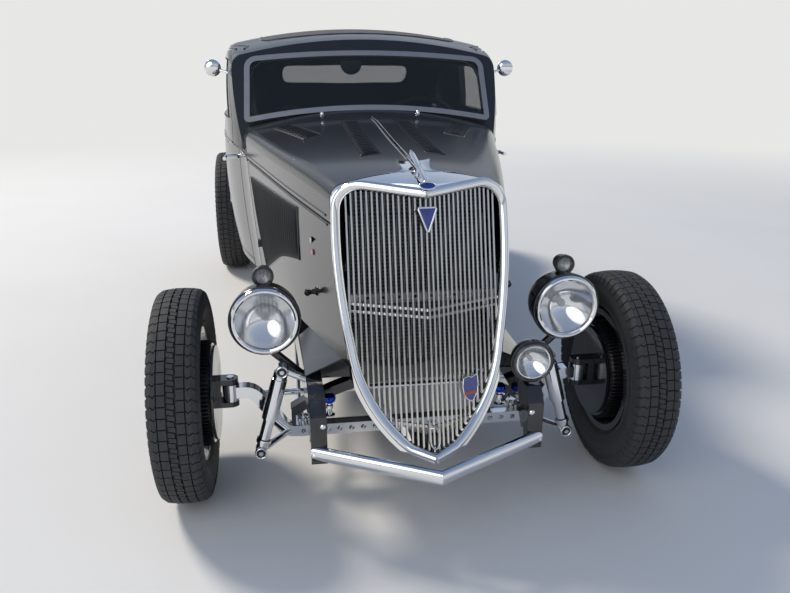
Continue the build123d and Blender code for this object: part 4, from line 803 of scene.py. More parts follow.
def louvre_panel(name, body, tree, edges, direction, count, rise, ends, section, finish):
    """Edges are two matching lists of points; the scoops run from one edge to the other."""
    first_edge, second_edge = (smooth_path(edge, 8) for edge in edges)
    last = len(first_edge) - 1

    def spot(u, v, lift):
        place = min(max(v, 0), 1) * last
        i = min(int(place), last - 1)
        a = first_edge[i].lerp(first_edge[i + 1], place - i)
        b = second_edge[i].lerp(second_edge[i + 1], place - i)
        ground, normal = lay(tree, a.lerp(b, u), direction)
        return ground + normal * lift

    # The field is a sheet of painted shade: body paint made darker and less reflective, laid on the panel
    field = Mesh()
    field.grid([[spot(u / 6, v / 30, 0.0009) for u in range(7)] for v in range(31)])
    field.hand_over(name + "_field", "louvre_black", body)
    border = [spot(0, v / 24, 0) for v in range(24)] + [spot(u / 6, 1, 0) for u in range(6)] \
        + [spot(1, 1 - v / 24, 0) for v in range(24)] + [spot(1 - u / 6, 0, 0) for u in range(6)]
    strip(name + "_bead", "satin_black_paint", border, half_round(0.0026, 0.0038), -direction, body,
          close=True)
    scoops = Mesh()
    length = 0.94 / count
    for number in range(count):
        low = 0.03 + 0.94 * number / count
        rows = []
        for j in range(SCOOP_STEPS + 1):
            share = j / SCOOP_STEPS
            u = ends[0] + (ends[1] - ends[0]) * share
            crest = rise * (1 - abs(2 * share - 1) ** 5)
            rows.append([spot(u, low + length * along, 0.0006 + crest * up) for along, up in section])
        scoops.grid(rows)
    scoops.hand_over(name + "_scoops", finish, body)


# Hood scoops and side louvres take the painted-shade copies of the body paint
for side, word in SIDES:
    turned_round = [(0.9 - along, up) for along, up in reversed(SCOOP_SECTION)]
    for tag, (count, *edges) in HOOD_LOUVRES.items():
        louvre_panel(f"hood_louvres_{tag}_{word}", f"hood_{word}", leaves[side],
                     [on_side(side, edge) for edge in edges], -UP, count, 0.0066, (0.06, 0.94), turned_round,
                     "scoop_black")
    louvre_panel(f"hood_side_louvres_{word}", "chassis", flank,
                 [on_side(side, edge) for edge in SIDE_LOUVRES], -side * ACROSS, 26, 0.007, (0.045, 0.965),
                 SCOOP_SECTION, "louvre_black")

# Belt moulding: a rounded bead along hood, cowl, door and quarter panel, by station and height
BELT = [(-110, 921), (100, 929), (500, 945), (990, 964), (1080, 984), (1200, 1004), (1600, 1018),
        (2060, 1020), (2300, 1014), (2600, 990)]


def belt_height(station):
    for (a, low), (b, high) in zip(BELT, BELT[1:]):
        if station <= b:
            return low + (high - low) * (station - a) / (b - a)
    return BELT[-1][1]


def belt_run(name, body, tree, side, start, end, drop):
    count = max(int((end - start) / 30), 4)
    stations = [start + (end - start) * i / count for i in range(count + 1)]
    path, ups = lay_all(tree, [here(side * 500, s, belt_height(s) - drop) for s in stations], -side * ACROSS)
    strip(name, "satin_black_paint", path, half_round(0.004, 0.0032), ups, body)


for side, word in SIDES:
    belt_run(f"belt_hood_{word}", f"hood_{word}", leaves[side], side, -95, 990, -12)
    belt_run(f"belt_hood_side_{word}", "chassis", flank, side, -110, 995, 13)
    door_skin, quarter_skin = surface_of(f"door_{word}"), surface_of(f"quarter_panel_{word}")
    for drop, tag in ((-9, "upper"), (9, "lower")):
        belt_run(f"belt_cowl_{tag}_{word}", "chassis", cowl_skin, side, 1004, 1184, drop)
        belt_run(f"belt_door_{tag}_{word}", f"door_{word}", door_skin, side, 1199, 2052, drop)
        belt_run(f"belt_quarter_{tag}_{word}", "chassis", quarter_skin, side, 2070, 2600, drop)

# Hood: a bright bead along each leaf's middle edge, and a catch, a lozenge and a button on each side
LOZENGE = ((-0.027, 0.008), (-0.004, 0.013), (0.027, -0.008), (0.004, -0.013))
for side, word in SIDES:
    path, _ = lay_all(leaves[side], [here(side * 8.2, s, 1200) for s in range(42, 1002, 24)], -UP)
    strip(f"hood_middle_bead_{word}", "trim_grey", path, half_round(0.0021, 0.0026), UP, f"hood_{word}")
    foot, out = lay(flank, here(side * 300, 20, 664), -side * ACROSS)
    catch = Mesh()
    catch.lathe([(-0.001, 0.016), (0.003, 0.0155), (0.006, 0.010), (0.016, 0.0075), (0.022, 0.009),
                 (0.030, 0.0125), (0.036, 0.0115), (0.040, 0.006), (0.041, 0)], foot, out, 28)
    catch.tube([foot + out * lift + Vector((0, back, rise)) for lift, back, rise in (
        (0.031, -0.004, 0.004), (0.034, 0.014, -0.006), (0.036, 0.040, -0.012))], 0.0042, 5, 10)
    catch.hand_over(f"hood_catch_{word}", "chassis_black")
    place, out = lay(flank, here(side * 300, 49, 825), -side * ACROSS)
    lozenge = Mesh()
    rows = lozenge.grid([[place + out * lift + Vector((0, u * share, w * share)) for u, w in LOZENGE]
                         for share, lift in ((1.0, 0.0), (0.92, 0.0035), (0.5, 0.0055))], close_columns=True)
    lozenge.faces.append(tuple(rows[-1]))
    lozenge.hand_over(f"hood_side_lozenge_{word}", "chrome_plate", smooth=False)
    place, out = lay(flank, here(side * 300, 34, 789), -side * ACROSS)
    turned(f"hood_side_button_{word}", "red_enamel",
           [(0, 0.011), (0.0028, 0.0108), (0.0042, 0.009), (0.0046, 0)], place, out, 6)

# Cowl: two wiper pivots under the windscreen and a vent seam across the top
for side, word in SIDES:
    foot, out = lay(cowl_skin, here(side * 213, 1075, 1300), -UP)
    turned(f"wiper_pivot_{word}", "chrome_plate",
           [(-0.001, 0.010), (0.003, 0.010), (0.006, 0.0075), (0.012, 0.007), (0.015, 0.004), (0.0155, 0)],
           foot, out, 24)
seam, _ = lay_all(cowl_skin, [here(x, 1046 - 10 * cos(pi * x / 560), 1300) for x in range(-210, 211, 20)],
                  -UP)
strip("cowl_vent_seam", "satin_black_paint", seam, half_round(0.0022, 0.0016, 5), UP)

# Windscreen: rubber beads round the glass, and a round mirror inside
SCREEN_RAKE = 0.529
screen_up = Vector((0, SCREEN_RAKE, 1)).normalized()
screen_out = Vector((0, -1, SCREEN_RAKE)).normalized()


def screen_outline(inset, lift):
    """The glass's edge moved in by the inset, in the windscreen's raked plane."""
    half, low, high = 551 - inset, -24 + inset, 286 - inset
    bottom = [(u, low + 58 * (1 - (u / half) ** 2)) for u in [half * 0.93 * (i / 8 - 1) for i in range(17)]]
    top = [(u, high + 34 * (1 - (u / half) ** 2)) for u in [(half - 62) * (1 - i / 8) for i in range(17)]]
    end = [(half - 4, low + 40), (half - 6, low + 120), (half - 9, high - 70), (half - 26, high - 22)]
    other_end = [(-u, v) for u, v in reversed(end)]
    return [here(u, 1113, 1119) + screen_up * (v / 1000) + screen_out * (lift / 1000)
            for u, v in bottom + end + top + other_end]


strip("windscreen_rubber", "rubber_seal", screen_outline(25, 6), ring(0.0045, 8), screen_out, close=True)
strip("windscreen_outer_seal", "rubber_seal", screen_outline(1, 1), ring(0.0035, 8), screen_out, close=True)
MIRROR_AXIS = (0.05, 1, 0.1)
mirror_middle = here(-58, 1335, 1352)
interior_mirror = Mesh()
interior_mirror.lathe([(0.010, 0.046), (0.006, 0.050), (-0.002, 0.050), (-0.010, 0.040), (-0.015, 0.022),
                       (-0.017, 0)], mirror_middle, MIRROR_AXIS, 40)
interior_mirror.tube([mirror_middle + Vector(shift) for shift in (
    (0, -0.012, 0.01), (0.005, -0.006, 0.05), (0.01, 0.02, 0.085))], 0.005, 5, 10)
interior_mirror.hand_over("interior_mirror_back", "steering_plastic")
turned("interior_mirror_glass", "mirror_silver", [(0.0102, 0.045), (0.0096, 0.03), (0.0092, 0)],
       mirror_middle, MIRROR_AXIS, 40)

# Door mirrors: a domed back, a rolled rim and the glass
for side, word in SIDES:
    hub = here(side * 690, 1351, 1332)
    dome = Mesh()
    dome.lathe([(-0.006, 0.0362), (-0.010, 0.033), (-0.014, 0.024), (-0.0165, 0.012), (-0.017, 0)], hub, BACK)
    dome.lathe(rolled(0.004, 0.0352, 0.0022, 0.0022), hub, BACK)
    dome.hand_over(f"mirror_back_{word}", "chrome_plate", f"door_{word}")
    turned(f"mirror_glass_{word}", "mirror_silver", [(0.0064, 0.034), (0.0068, 0.02), (0.007, 0)],
           hub, BACK, 40, f"door_{word}")

# Front suspension: shock covers and eyes with rubber and bolts, blue fittings, spring clips
SHOCK_FOOT, SHOCK_HEAD, EYE_FACE = (497, -150, 202), (421, -150, 472), -0.0215
CLIP_XS, CLIP_STATIONS = (353, 371), (-16, 16)
for side, word in SIDES:
    low, high = on_side(side, (SHOCK_FOOT, SHOCK_HEAD))
    run, length = (high - low).normalized(), (high - low).length
    covers = Mesh()
    for profile in (((0.40, 0.0222), (0.402, 0.0245), (0.86, 0.0245), (0.89, 0.0238), (0.915, 0.017),
                     (0.92, 0.010)),
                    ((0.10, 0.010), (0.105, 0.0226), (0.125, 0.0232), (0.15, 0.0224))):
        covers.lathe([(length * share, radius) for share, radius in profile], low, run, 40)
    covers.hand_over(f"shock_covers_{word}", "chrome_plate")
    eyes, bushes, bolts = Mesh(), Mesh(), Mesh()
    for centre in (low, high):
        eyes.lathe(rolled(EYE_FACE, 0.0165, 0.0045, 0.0035), centre, BACK, 32)
        bushes.lathe([(EYE_FACE - 0.001, 0.0145), (EYE_FACE - 0.002, 0.011), (EYE_FACE, 0.0085)],
                     centre, BACK, 28)
        bolts.hexagon(centre + BACK * (EYE_FACE + 0.001), -BACK, 0.014, 0.0065)
    eyes.hand_over(f"shock_eyes_{word}", "chrome_plate")
    bushes.hand_over(f"shock_bushes_{word}", "rubber_seal")
    bolts.hand_over(f"shock_bolts_{word}", "polished_steel")
    bar_bolt = Mesh()
    bar_bolt.lathe([(0, 0.010), (0.003, 0.010), (0.007, 0.0075), (0.009, 0.004), (0.0095, 0)],
                   here(side * 336, -346, 282), -BACK, 24)
    bar_bolt.lathe([(0, 0.008), (0.002, 0.008), (0.005, 0.005), (0.006, 0)],
                   here(side * 310, -346, 372), -BACK, 20)
    bar_bolt.hand_over(f"bar_bolts_{word}", "chrome_plate")
    fitting = here(side * 278, -120, 352)
    turned(f"blue_fitting_{word}", "blue_anodised",
           [(-0.014, 0), (-0.0138, 0.013), (-0.008, 0.019), (0.0, 0.0205), (0.008, 0.019), (0.014, 0.012),
            (0.015, 0)], fitting, UP, 32)
    stalk = Mesh()
    stalk.lathe([(-0.060, 0.016), (-0.056, 0.017), (-0.052, 0.009), (-0.036, 0.0055), (-0.034, 0.011),
                 (-0.024, 0.011), (-0.022, 0.006), (-0.012, 0.006)], fitting, UP, 24)
    stalk.tube(on_side(side, ((278, -120, 296), (290, -100, 288), (326, -60, 296))), 0.006, 5, 10)
    stalk.hand_over(f"blue_fitting_stalk_{word}", "chrome_plate")
    clips = Mesh()
    for s in CLIP_STATIONS:
        clips.tube(on_side(side, ((371, s, 228), (371, s, 174), (362, s, 174), (353, s, 174), (353, s, 228))),
                   0.0042, 2, 8)
    for x in CLIP_XS:
        for s in CLIP_STATIONS:
            clips.hexagon(here(side * x, s, 226), UP, 0.013, 0.008)
    clips.hand_over(f"spring_clips_{word}", "polished_steel")

# Bumper bars with a crowned face, in the place of the plain ones: the front V, the rear bar and its brackets
CROWNED = [(-0.011, -0.018), (-0.011, 0.018), (-0.008, 0.021), (-0.002, 0.0213), (0.004, 0.0185),
           (0.008, 0.013), (0.0103, 0.006), (0.011, 0), (0.0103, -0.006), (0.008, -0.013),
           (0.004, -0.0185), (-0.002, -0.0213), (-0.008, -0.021)]
FRONT_BAR = [(-342, -339), (-171, -433.7), (0, -528.4), (171, -433.7), (342, -339)]
REAR_BAR = [(470, 3336), (440, 3354), (412, 3366), (380, 3370), (-380, 3370), (-412, 3366), (-440, 3354),
            (-470, 3336)]
FRONT_BAR_Z, REAR_BAR_Z, REAR_BRACKET_XS = 286, 508, (-386, 386)
bars, rear_bolts = Mesh(), Mesh()
bars.swept([here(x, s, FRONT_BAR_Z) for x, s in FRONT_BAR], CROWNED, UP)
bars.swept([here(x, s, REAR_BAR_Z) for x, s in REAR_BAR], CROWNED, UP)
for x in REAR_BRACKET_XS:
    bars.slab([here(x - 6, s, z) for s, z in ((3220, 493), (3362, 493), (3362, 523), (3220, 523))],
              ACROSS, 0.012)
    rear_bolts.lathe([(0, 0.011), (0.003, 0.011), (0.0045, 0.006), (0.005, 0)],
                     here(x, 3375, REAR_BAR_Z), BACK, 20)
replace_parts(bars.hand_over("crowned_bumper_bars", "chrome_plate"), "bumper_bars")
rear_bolts.hand_over("rear_bar_bolts", "chrome_plate")

# Wheels: chrome caps, lug nuts and pressed rings outside; cooling fins round the front drums
NUTS, NUT_CIRCLE, NUT_TURN = 5, 0.078, 0.3
RINGS, RING_STEPS, FINS = (0.098, 0.152), 64, 84
FIN_OUTLINE = ((0.647, 0.158), (0.700, 0.158), (0.700, 0.166), (0.694, 0.170), (0.653, 0.170), (0.647, 0.166))
for where, (axle_y, _, wheel_z, *_) in WHEELS.items():
    for side, word in SIDES:
        body = f"wheel_{where}_{word}"
        skin = surface_of(f"rim_{where}_{word}")

        def on_wheel(radius, angle):
            """The wheel's outer face at a distance and an angle from its middle."""
            start = (side * 0.75, axle_y + radius * cos(angle), wheel_z + radius * sin(angle))
            return lay(skin, start, -side * ACROSS)[0]

        turned(f"wheel_cap_{where}_{word}", "chrome_plate",
               [(-0.001, 0.046), (0.006, 0.046), (0.010, 0.044), (0.0115, 0.041), (0.0125, 0.034),
                (0.0185, 0.024), (0.0215, 0.012), (0.022, 0)],
               (on_wheel(0.024, 0).x, axle_y, wheel_z), side * ACROSS, body=body)
        nuts = Mesh()
        for k in range(NUTS):
            foot = on_wheel(NUT_CIRCLE, tau * k / NUTS + NUT_TURN)
            nuts.hexagon(foot, side * ACROSS, 0.0205, 0.013, 0.3)
            nuts.lathe([(0.013, 0.006), (0.017, 0.0055), (0.0175, 0)], foot, side * ACROSS, 12)
        nuts.hand_over(f"wheel_nuts_{where}_{word}", "polished_steel", body)
        rings = Mesh()
        for radius in RINGS:
            rings.swept([on_wheel(radius, tau * k / RING_STEPS) for k in range(RING_STEPS)],
                        half_round(0.004, 0.003), side * ACROSS, close=True)
        rings.hand_over(f"wheel_pressed_rings_{where}_{word}", "chassis_black", body)

for side, word in SIDES:
    axle_y, _, wheel_z, *_ = WHEELS["front"]
    fins = Mesh()
    for k in range(FINS):
        angle = tau * k / FINS
        spoke, turn = Vector((0, cos(angle), sin(angle))), Vector((0, -sin(angle), cos(angle)))
        fins.slab([Vector((0, axle_y, wheel_z)) + side * x * ACROSS + spoke * r - turn * 0.0013
                   for x, r in FIN_OUTLINE], turn, 0.0026)
    fins.hand_over(f"drum_fins_{word}", "drum_iron", f"wheel_front_{word}", smooth=False)


# Window seals, drip rails and the welt of the roof insert
def closed_seal(name, tree, outline, direction, grow, body="chassis", finish="rubber_seal", radius=0.004):
    """A round seal on a surface, along the outline moved outwards by grow."""
    middle = sum(outline, Vector()) / len(outline)
    points = [p + (p - middle).normalized() * grow for p in smooth_path(outline, 3, close=True)]
    path, ups = lay_all(tree, points, direction)
    strip(name, finish, path, ring(radius, 8), ups, body, close=True)


DOOR_WINDOW = [(1266, 1125), (1270, 1138), (1312, 1230), (1370, 1352), (1388, 1367), (1600, 1371),
               (1960, 1375), (1976, 1371), (1996, 1350), (2000, 1334), (2000, 1240), (2000, 1142),
               (1986, 1122), (1640, 1122), (1290, 1122)]
GUTTER = [(1345, 1414), (1400, 1428), (1500, 1431), (1650, 1433), (1800, 1433), (1950, 1431), (2020, 1422),
          (2062, 1396), (2080, 1350), (2084, 1290)]
REAR_WINDOW = [(-372, 0), (-366, 30), (-335, 52), (-150, 53), (150, 53), (335, 52), (366, 30), (372, 0),
               (366, -30), (335, -52), (150, -53), (-150, -53), (-335, -52), (-366, -30)]
ROOF_INSERT = [(-1, 0), (-1, 0.7), (-0.94, 0.94), (-0.8, 1), (0, 1), (0.8, 1), (0.94, 0.94), (1, 0.7), (1, 0),
               (1, -0.7), (0.94, -0.94), (0.8, -1), (0, -1), (-0.8, -1), (-0.94, -0.94), (-1, -0.7)]
for side, word in SIDES:
    closed_seal(f"door_window_seal_{word}", surface_of(f"door_{word}"),
                [here(side * 640, s, z) for s, z in DOOR_WINDOW], -side * ACROSS, 0.006, f"door_{word}")
    path, ups = lay_all(roof_skin, [here(side * 600, s, z) for s, z in GUTTER], -side * ACROSS)
    strip(f"drip_rail_{word}", "satin_black_paint", path, half_round(0.005, 0.0048), ups)
closed_seal("rear_window_seal", roof_skin, [here(x, 2440, 1285 + rise) for x, rise in REAR_WINDOW], -BACK,
            0.008, radius=0.006)
closed_seal("roof_insert_welt", surface_of("roof_insert", "roof"),
            [here(u * 470, 1745 + v * 295, 1500) for u, v in ROOF_INSERT], -UP, 0.002,
            finish="satin_black_paint", radius=0.0042)

# Tail: lamp rims, exhaust tips, a blank plate in a rim, the deck lid's handle and the filler cap
for side, word in SIDES:
    tail_lamp = here(side * 340, 3330, 619)
    rim = Mesh()
    rim.lathe(rolled(0.008, 0.0385, 0.005, 0.0042), tail_lamp, BACK)
    rim.lathe([(0.024, 0.009), (0.0262, 0.008), (0.027, 0)], tail_lamp, BACK, 20)
    rim.hand_over(f"tail_lamp_rim_{word}", "chrome_plate")
    turned(f"exhaust_tip_{word}", "chrome_plate",
           [(-0.055, 0.0245), (-0.052, 0.0275), (0.010, 0.0285), (0.0125, 0.027), (0.012, 0.0245),
            (-0.02, 0.0235), (-0.03, 0.0)], here(side * 250, 3300, 258), BACK, 40)
PLATE = [(-148, 580), (-152, 584), (-152, 696), (-148, 700), (148, 700), (152, 696), (152, 584), (148, 580)]
plate, plate_rim = Mesh(), Mesh()
plate.slab([here(x, 3333, z) for x, z in PLATE], BACK, 0.0025)
plate.hand_over("bare_rear_plate", "bare_plate", smooth=False)
plate_rim.swept([here(x, 3335, z) for x, z in PLATE], ring(0.0032, 8), BACK, close=True)
for x, z in ((-88, 688), (88, 688), (-88, 592), (88, 592)):
    plate_rim.lathe([(0, 0.006), (0.002, 0.0055), (0.0035, 0.003), (0.004, 0)], here(x, 3335.5, z), BACK, 14)
plate_rim.hand_over("rear_plate_rim", "chrome_plate")
foot, out = lay(surface_of("deck_lid"), here(0, 3165, 1300), -UP)
deck_handle = Mesh()
deck_handle.lathe([(-0.001, 0.019), (0.004, 0.018), (0.008, 0.010), (0.020, 0.009)], foot, out, 28)
deck_handle.tube([foot + out * lift + ACROSS * x for x, lift in (
    (-0.052, 0.022), (-0.02, 0.026), (0, 0.027), (0.02, 0.026), (0.052, 0.022))], 0.0062, 5)
deck_handle.hand_over("deck_handle", "chrome_plate", "deck_lid")
foot, out = lay(surface_of("quarter_panel_left"), here(560, 2560, 960), (-0.75, 0, -0.66))
filler = Mesh()
filler.lathe([(-0.002, 0.040), (0.002, 0.040), (0.005, 0.034), (0.006, 0.033), (0.014, 0.032), (0.020, 0.027),
              (0.0225, 0.014), (0.023, 0)], foot, out)
side_way = out.orthogonal().normalized()
other_way = out.cross(side_way)
for k in range(12):
    spoke = side_way * cos(tau * k / 12) + other_way * sin(tau * k / 12)
    filler.tube([foot + out * 0.006 + spoke * 0.0325, foot + out * 0.015 + spoke * 0.0318], 0.0022, 2, 6)
filler.hand_over("fuel_filler_cap", "chrome_plate")

# Instruments, by their x and z on the dashboard and their radius
GAUGES = ((205, 1062, 0.041), (300, 1068, 0.041), (40, 1062, 0.026), (-25, 1062, 0.026), (-90, 1062, 0.026))
dashboard = surface_of("dashboard")
for number, (x, z, radius) in enumerate(GAUGES):
    face, out = lay(dashboard, here(x, 1180, z), -BACK)
    turned(f"gauge_bezel_{number}", "chrome_plate",
           [(-0.002, radius * 1.12), (0.004, radius * 1.1), (0.0065, radius * 1.02), (0.005, radius * 0.96),
            (0.002, radius * 0.94)], face, out, 40)
    turned(f"gauge_face_{number}", "dial_face",
           [(0.0016, radius * 0.95), (0.0018, radius * 0.5), (0.0018, 0)], face, out, 40)
    marks = Mesh()
    for k in range(11):
        angle = radians(225 - 27 * k)
        spoke = Vector((cos(angle), 0, sin(angle)))
        marks.tube([face + out * 0.0024 + spoke * radius * share for share in (0.76, 0.9)], 0.0007, 2, 6)
    needle = radians(205 - 14 * number)
    spoke = Vector((cos(needle), 0, sin(needle)))
    marks.tube([face + out * 0.003 - spoke * radius * 0.15, face + out * 0.0034 + spoke * radius * 0.74],
               0.0009, 2, 6)
    marks.lathe([(0.002, radius * 0.12), (0.0045, radius * 0.1), (0.005, 0)], face, out, 16)
    marks.hand_over(f"gauge_marks_{number}", "steering_plastic")

# Pedals, by name, x and the half width of the pad, and the gear lever
PAD_OUTLINE = ((-1, 0.004), (-0.86, 0), (0.86, 0), (1, 0.004), (1, 0.062), (0.86, 0.067), (-0.86, 0.067),
               (-1, 0.062))
for name, x, half_width in (("throttle", 395, 0.026), ("brake", 305, 0.034), ("clutch", 215, 0.034)):
    pad_top, pad_low = here(x, 1112, 648), here(x, 1088, 582)
    lean = (pad_top - pad_low).normalized()
    out = Vector((0, lean.z, -lean.y))
    pad = Mesh()
    pad.slab([pad_low + ACROSS * share * half_width + lean * rise for share, rise in PAD_OUTLINE], out, 0.012)
    for rib in range(5):
        base = pad_low + lean * (0.010 + rib * 0.0115) + out * 0.012
        pad.tube([base - ACROSS * half_width * 0.85, base + ACROSS * half_width * 0.85], 0.0022, 2, 6)
    pad.hand_over(f"{name}_pedal_pad", "rubber_seal", slot="steering_plastic")
    arm = Mesh()
    arm.tube([pad_low + lean * 0.035, here(x, 1072, 640), here(x, 1040, 740), here(x, 1013, 800)],
             0.0075, 5, 10)
    arm.hand_over(f"{name}_pedal_arm", "chassis_black")
turned("gear_lever_boot", "rubber_seal",
       [(0, 0.062), (0.006, 0.060), (0.022, 0.040), (0.040, 0.022), (0.058, 0.016), (0.066, 0.010)],
       here(0, 1440, 460), (0, 0.05, 1), 40, slot="steering_plastic")
stick = Mesh()
stick.tube([here(0, 1443, 515), here(0, 1452, 600), here(0, 1480, 700), here(0, 1492, 760)], 0.0068)
stick.lathe([(-0.004, 0.008), (0.004, 0.018), (0.014, 0.0245), (0.026, 0.025), (0.036, 0.019), (0.041, 0.009),
             (0.042, 0)], here(0, 1492, 758), (0, 0.12, 1), 32)
stick.hand_over("gear_lever", "chrome_plate")

# Bench seat: two padded pieces, swelled by a cloth simulation, with sewn channels
SEAT_INSET, SEAT_LIFT, CROWN = 13, 3, 0.05
SKIN, LARGEST_MOVE, SETTLING_FRAMES = 0.011, 0.024, 20
CHANNELS, CHANNEL_DEPTH, CHANNEL_HALF_WIDTH, BOX_SLACK = 12, 0.0115, 7.5, 0.004


def take_shape(pad):
    """Gives the pad the mesh that its modifiers make, and clears them."""
    mesh = bpy.data.meshes.new_from_object(pad.evaluated_get(bpy.context.evaluated_depsgraph_get()))
    pad.modifiers.clear()
    pad.data = mesh


def swell(pad):
    """An even skin, blown up by a cloth simulation, with no point moved by more than the largest move."""
    remesh = pad.modifiers.new("even_skin", "REMESH")
    remesh.mode = "VOXEL"
    remesh.voxel_size = SKIN
    take_shape(pad)
    start = [v.co.copy() for v in pad.data.vertices]
    stuffing = pad.modifiers.new("stuffing", "CLOTH").settings
    stuffing.use_pressure = True
    stuffing.uniform_pressure_force = 4
    stuffing.effector_weights.gravity = 0
    stuffing.quality = 4
    for step in range(SETTLING_FRAMES):
        scene.frame_set(step + 1)
    take_shape(pad)
    scene.frame_set(1)
    for before, vertex in zip(start, pad.data.vertices):
        move = vertex.co - before
        if move.length > LARGEST_MOVE:
            vertex.co = before + move.normalized() * LARGEST_MOVE
    soften = pad.modifiers.new("smooth_skin", "SUBSURF")
    soften.levels = soften.render_levels = 1
    take_shape(pad)


def padded_bench(name, node, low, high, lean, facing_way):
    """A cushion between two corners in millimetres, leaning back by lean along its height."""
    x0, s0, z0 = low[0] + SEAT_INSET, low[1] + SEAT_INSET, low[2] + SEAT_LIFT
    x1, s1, z1 = (value - SEAT_INSET for value in high)
    shape = bmesh.new()
    bmesh.ops.create_cube(shape, size=1)
    bmesh.ops.bevel(shape, geom=shape.edges[:], offset=0.12, segments=3, profile=0.6, affect="EDGES")
    for vertex in shape.verts:
        u, v, w = (value + 0.5 for value in vertex.co)
        station = s0 + (s1 - s0) * v + lean * w
        crown = 1 + CROWN * sin(pi * u) * sin(pi * min(max(v, 0), 1))
        vertex.co = here(x0 + (x1 - x0) * u, station, z0 + (z1 - z0) * w * crown / (1 + CROWN))
    mesh = bpy.data.meshes.new(name)
    shape.to_mesh(mesh)
    shape.free()
    pad = bpy.data.objects.new(name, mesh)
    scene.collection.objects.link(pad)
    swell(pad)
    low_box, high_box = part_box(node)
    normals = [v.normal.copy() for v in pad.data.vertices]
    for vertex, normal in zip(pad.data.vertices, normals):
        across_share = (vertex.co.x * 1000 - x0) / (x1 - x0) * CHANNELS
        if 0.5 < across_share < CHANNELS - 0.5:
            nearest = abs(across_share - round(across_share)) * (x1 - x0) / CHANNELS
            facing = max(normal.dot(facing_way), 0)
            vertex.co -= normal * (CHANNEL_DEPTH * exp(-(nearest / CHANNEL_HALF_WIDTH) ** 2) * facing)
        for axis in range(3):
            vertex.co[axis] = min(max(vertex.co[axis], low_box[axis] - BOX_SLACK), high_box[axis] + BOX_SLACK)
    pad.data.materials.append(finishes["seat_leather"])
    pad.data.shade_smooth()
    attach(pad, "chassis")
    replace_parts(pad, node)


padded_bench("padded_seat_cushion", "seat_cushion", (-462, 1645, 562), (462, 2105, 713), 0, UP)
padded_bench("padded_seat_back", "seat_back", (-462, 2108, 562), (462, 2250, 1153), 100, -BACK)

# Floor, sky, lamps and camera
HORIZON = (0.8, 0.8, 0.79)
FLOOR_REACH, FLOOR_Z = 60, -0.0008


def studio_floor():
    """Pale ground that fades to the horizon's colour far from the car."""
    ground = clouded("studio_floor", (0.7, 0.69, 0.665), (0.76, 0.75, 0.73), (1.2, 5), 0.7, 0.2,
                     grain=(160, 3, 0.0008, 0.4), Specular_IOR_Level=0.1)
    x, y, _ = ground.split(ground.place())
    far = ((x * x + y * y) ** 0.5).between(3.4, 11)
    glow = ground.node("Emission", Color=(*HORIZON, 1), Strength=1.0)
    fade = ground.tree.nodes.new("ShaderNodeMixShader")
    for socket, output in zip(fade.inputs, (far.socket, ground.surface.outputs[0], glow.socket)):
        ground.tree.links.new(output, socket)
    ground.tree.links.new(fade.outputs[0], ground.tree.nodes["Material Output"].inputs["Surface"])


studio_floor()
floor_mesh = bpy.data.meshes.new("floor")
corners = [(x * FLOOR_REACH, y * FLOOR_REACH, FLOOR_Z) for x, y in ((-1, -1), (1, -1), (1, 1), (-1, 1))]
floor_mesh.from_pydata(corners, [], [(0, 1, 2, 3)])
floor = bpy.data.objects.new("floor", floor_mesh)
floor_mesh.materials.append(finishes["studio_floor"])
scene.collection.objects.link(floor)

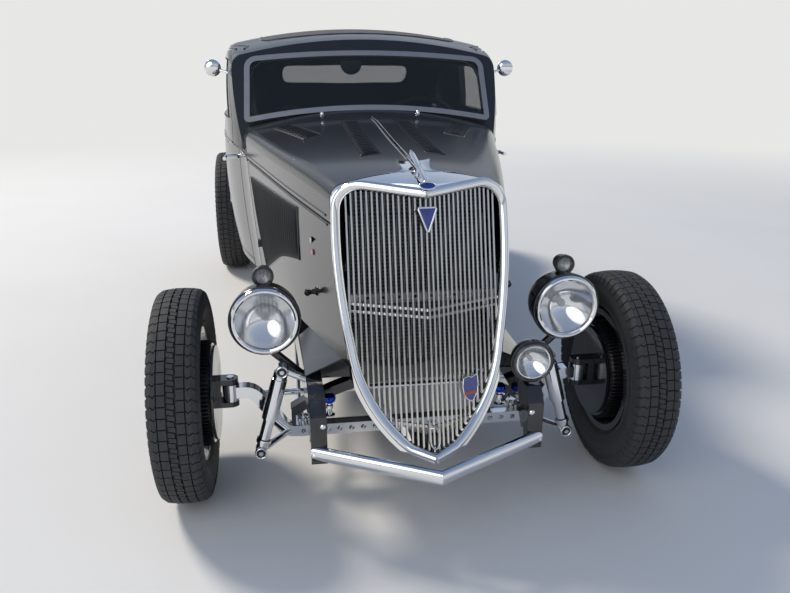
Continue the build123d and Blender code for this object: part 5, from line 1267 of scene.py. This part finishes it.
# The sky by the height of a direction: a dark band above the horizon, a pale one and blue above
SKY = ((0.0, HORIZON), (0.1, HORIZON), (0.15, (0.3, 0.31, 0.33)), (0.21, (0.33, 0.35, 0.4)),
       (0.27, (0.64, 0.69, 0.77)), (0.5, (0.34, 0.42, 0.57)), (1.0, (0.17, 0.25, 0.42)))
world = bpy.data.worlds.new("studio")
scene.world = world
world.use_nodes = True
sky_tree = world.node_tree
background = sky_tree.nodes["Background"]
direction = sky_tree.nodes.new("ShaderNodeTexCoord")
height = sky_tree.nodes.new("ShaderNodeSeparateXYZ")
ramp = sky_tree.nodes.new("ShaderNodeValToRGB")
stops = ramp.color_ramp.elements
for position, colour in SKY[1:-1]:
    stops.new(position)
for stop, (position, colour) in zip(stops, SKY):
    stop.position = position
    stop.color = (*colour, 1)
sky_tree.links.new(direction.outputs["Generated"], height.inputs[0])
sky_tree.links.new(height.outputs["Z"], ramp.inputs["Fac"])
sky_tree.links.new(ramp.outputs["Color"], background.inputs["Color"])
background.inputs["Strength"].default_value = 1.0


def area_lamp(name, place, aim, size, power, colour):
    data = bpy.data.lights.new(name, "AREA")
    data.shape = "DISK"
    data.size = size
    data.energy = power
    data.color = colour
    lamp = bpy.data.objects.new(name, data)
    lamp.location = place
    lamp.rotation_euler = (Vector(aim) - Vector(place)).to_track_quat("-Z", "Y").to_euler()
    scene.collection.objects.link(lamp)


area_lamp("key", (-11, 8, 15), (0, -0.4, 0.5), 4.6, 3300, (1, 0.93, 0.82))
area_lamp("fill", (-5.2, -7.4, 5.6), (0, -0.8, 0.6), 8.0, 230, (1, 0.96, 0.9))

# The photograph's camera, solved from the wheels, the lamps and the grille
CAMERA_PLACE = Vector((-0.3870, -3.6381, 1.3696))
YAW, PITCH, ROLL = radians(8.6248), radians(-18.0084), radians(0.124)
FOCAL_PIXELS, PICTURE_WIDTH, SENSOR_WIDTH = 728.51, 790, 36
ahead = Vector((sin(YAW) * cos(PITCH), cos(YAW) * cos(PITCH), sin(PITCH)))
level = ahead.cross(UP).normalized()
above = level.cross(ahead)
right = level * cos(ROLL) + above * sin(ROLL)
top = above * cos(ROLL) - level * sin(ROLL)
camera_data = bpy.data.cameras.new("camera")
camera_data.sensor_width = SENSOR_WIDTH
camera_data.lens = FOCAL_PIXELS / PICTURE_WIDTH * SENSOR_WIDTH
camera = bpy.data.objects.new("camera", camera_data)
camera.matrix_world = Matrix.Translation(CAMERA_PLACE) @ Matrix((right, top, -ahead)).transposed().to_4x4()
scene.collection.objects.link(camera)
scene.camera = camera
scene.view_settings.view_transform = "Standard"
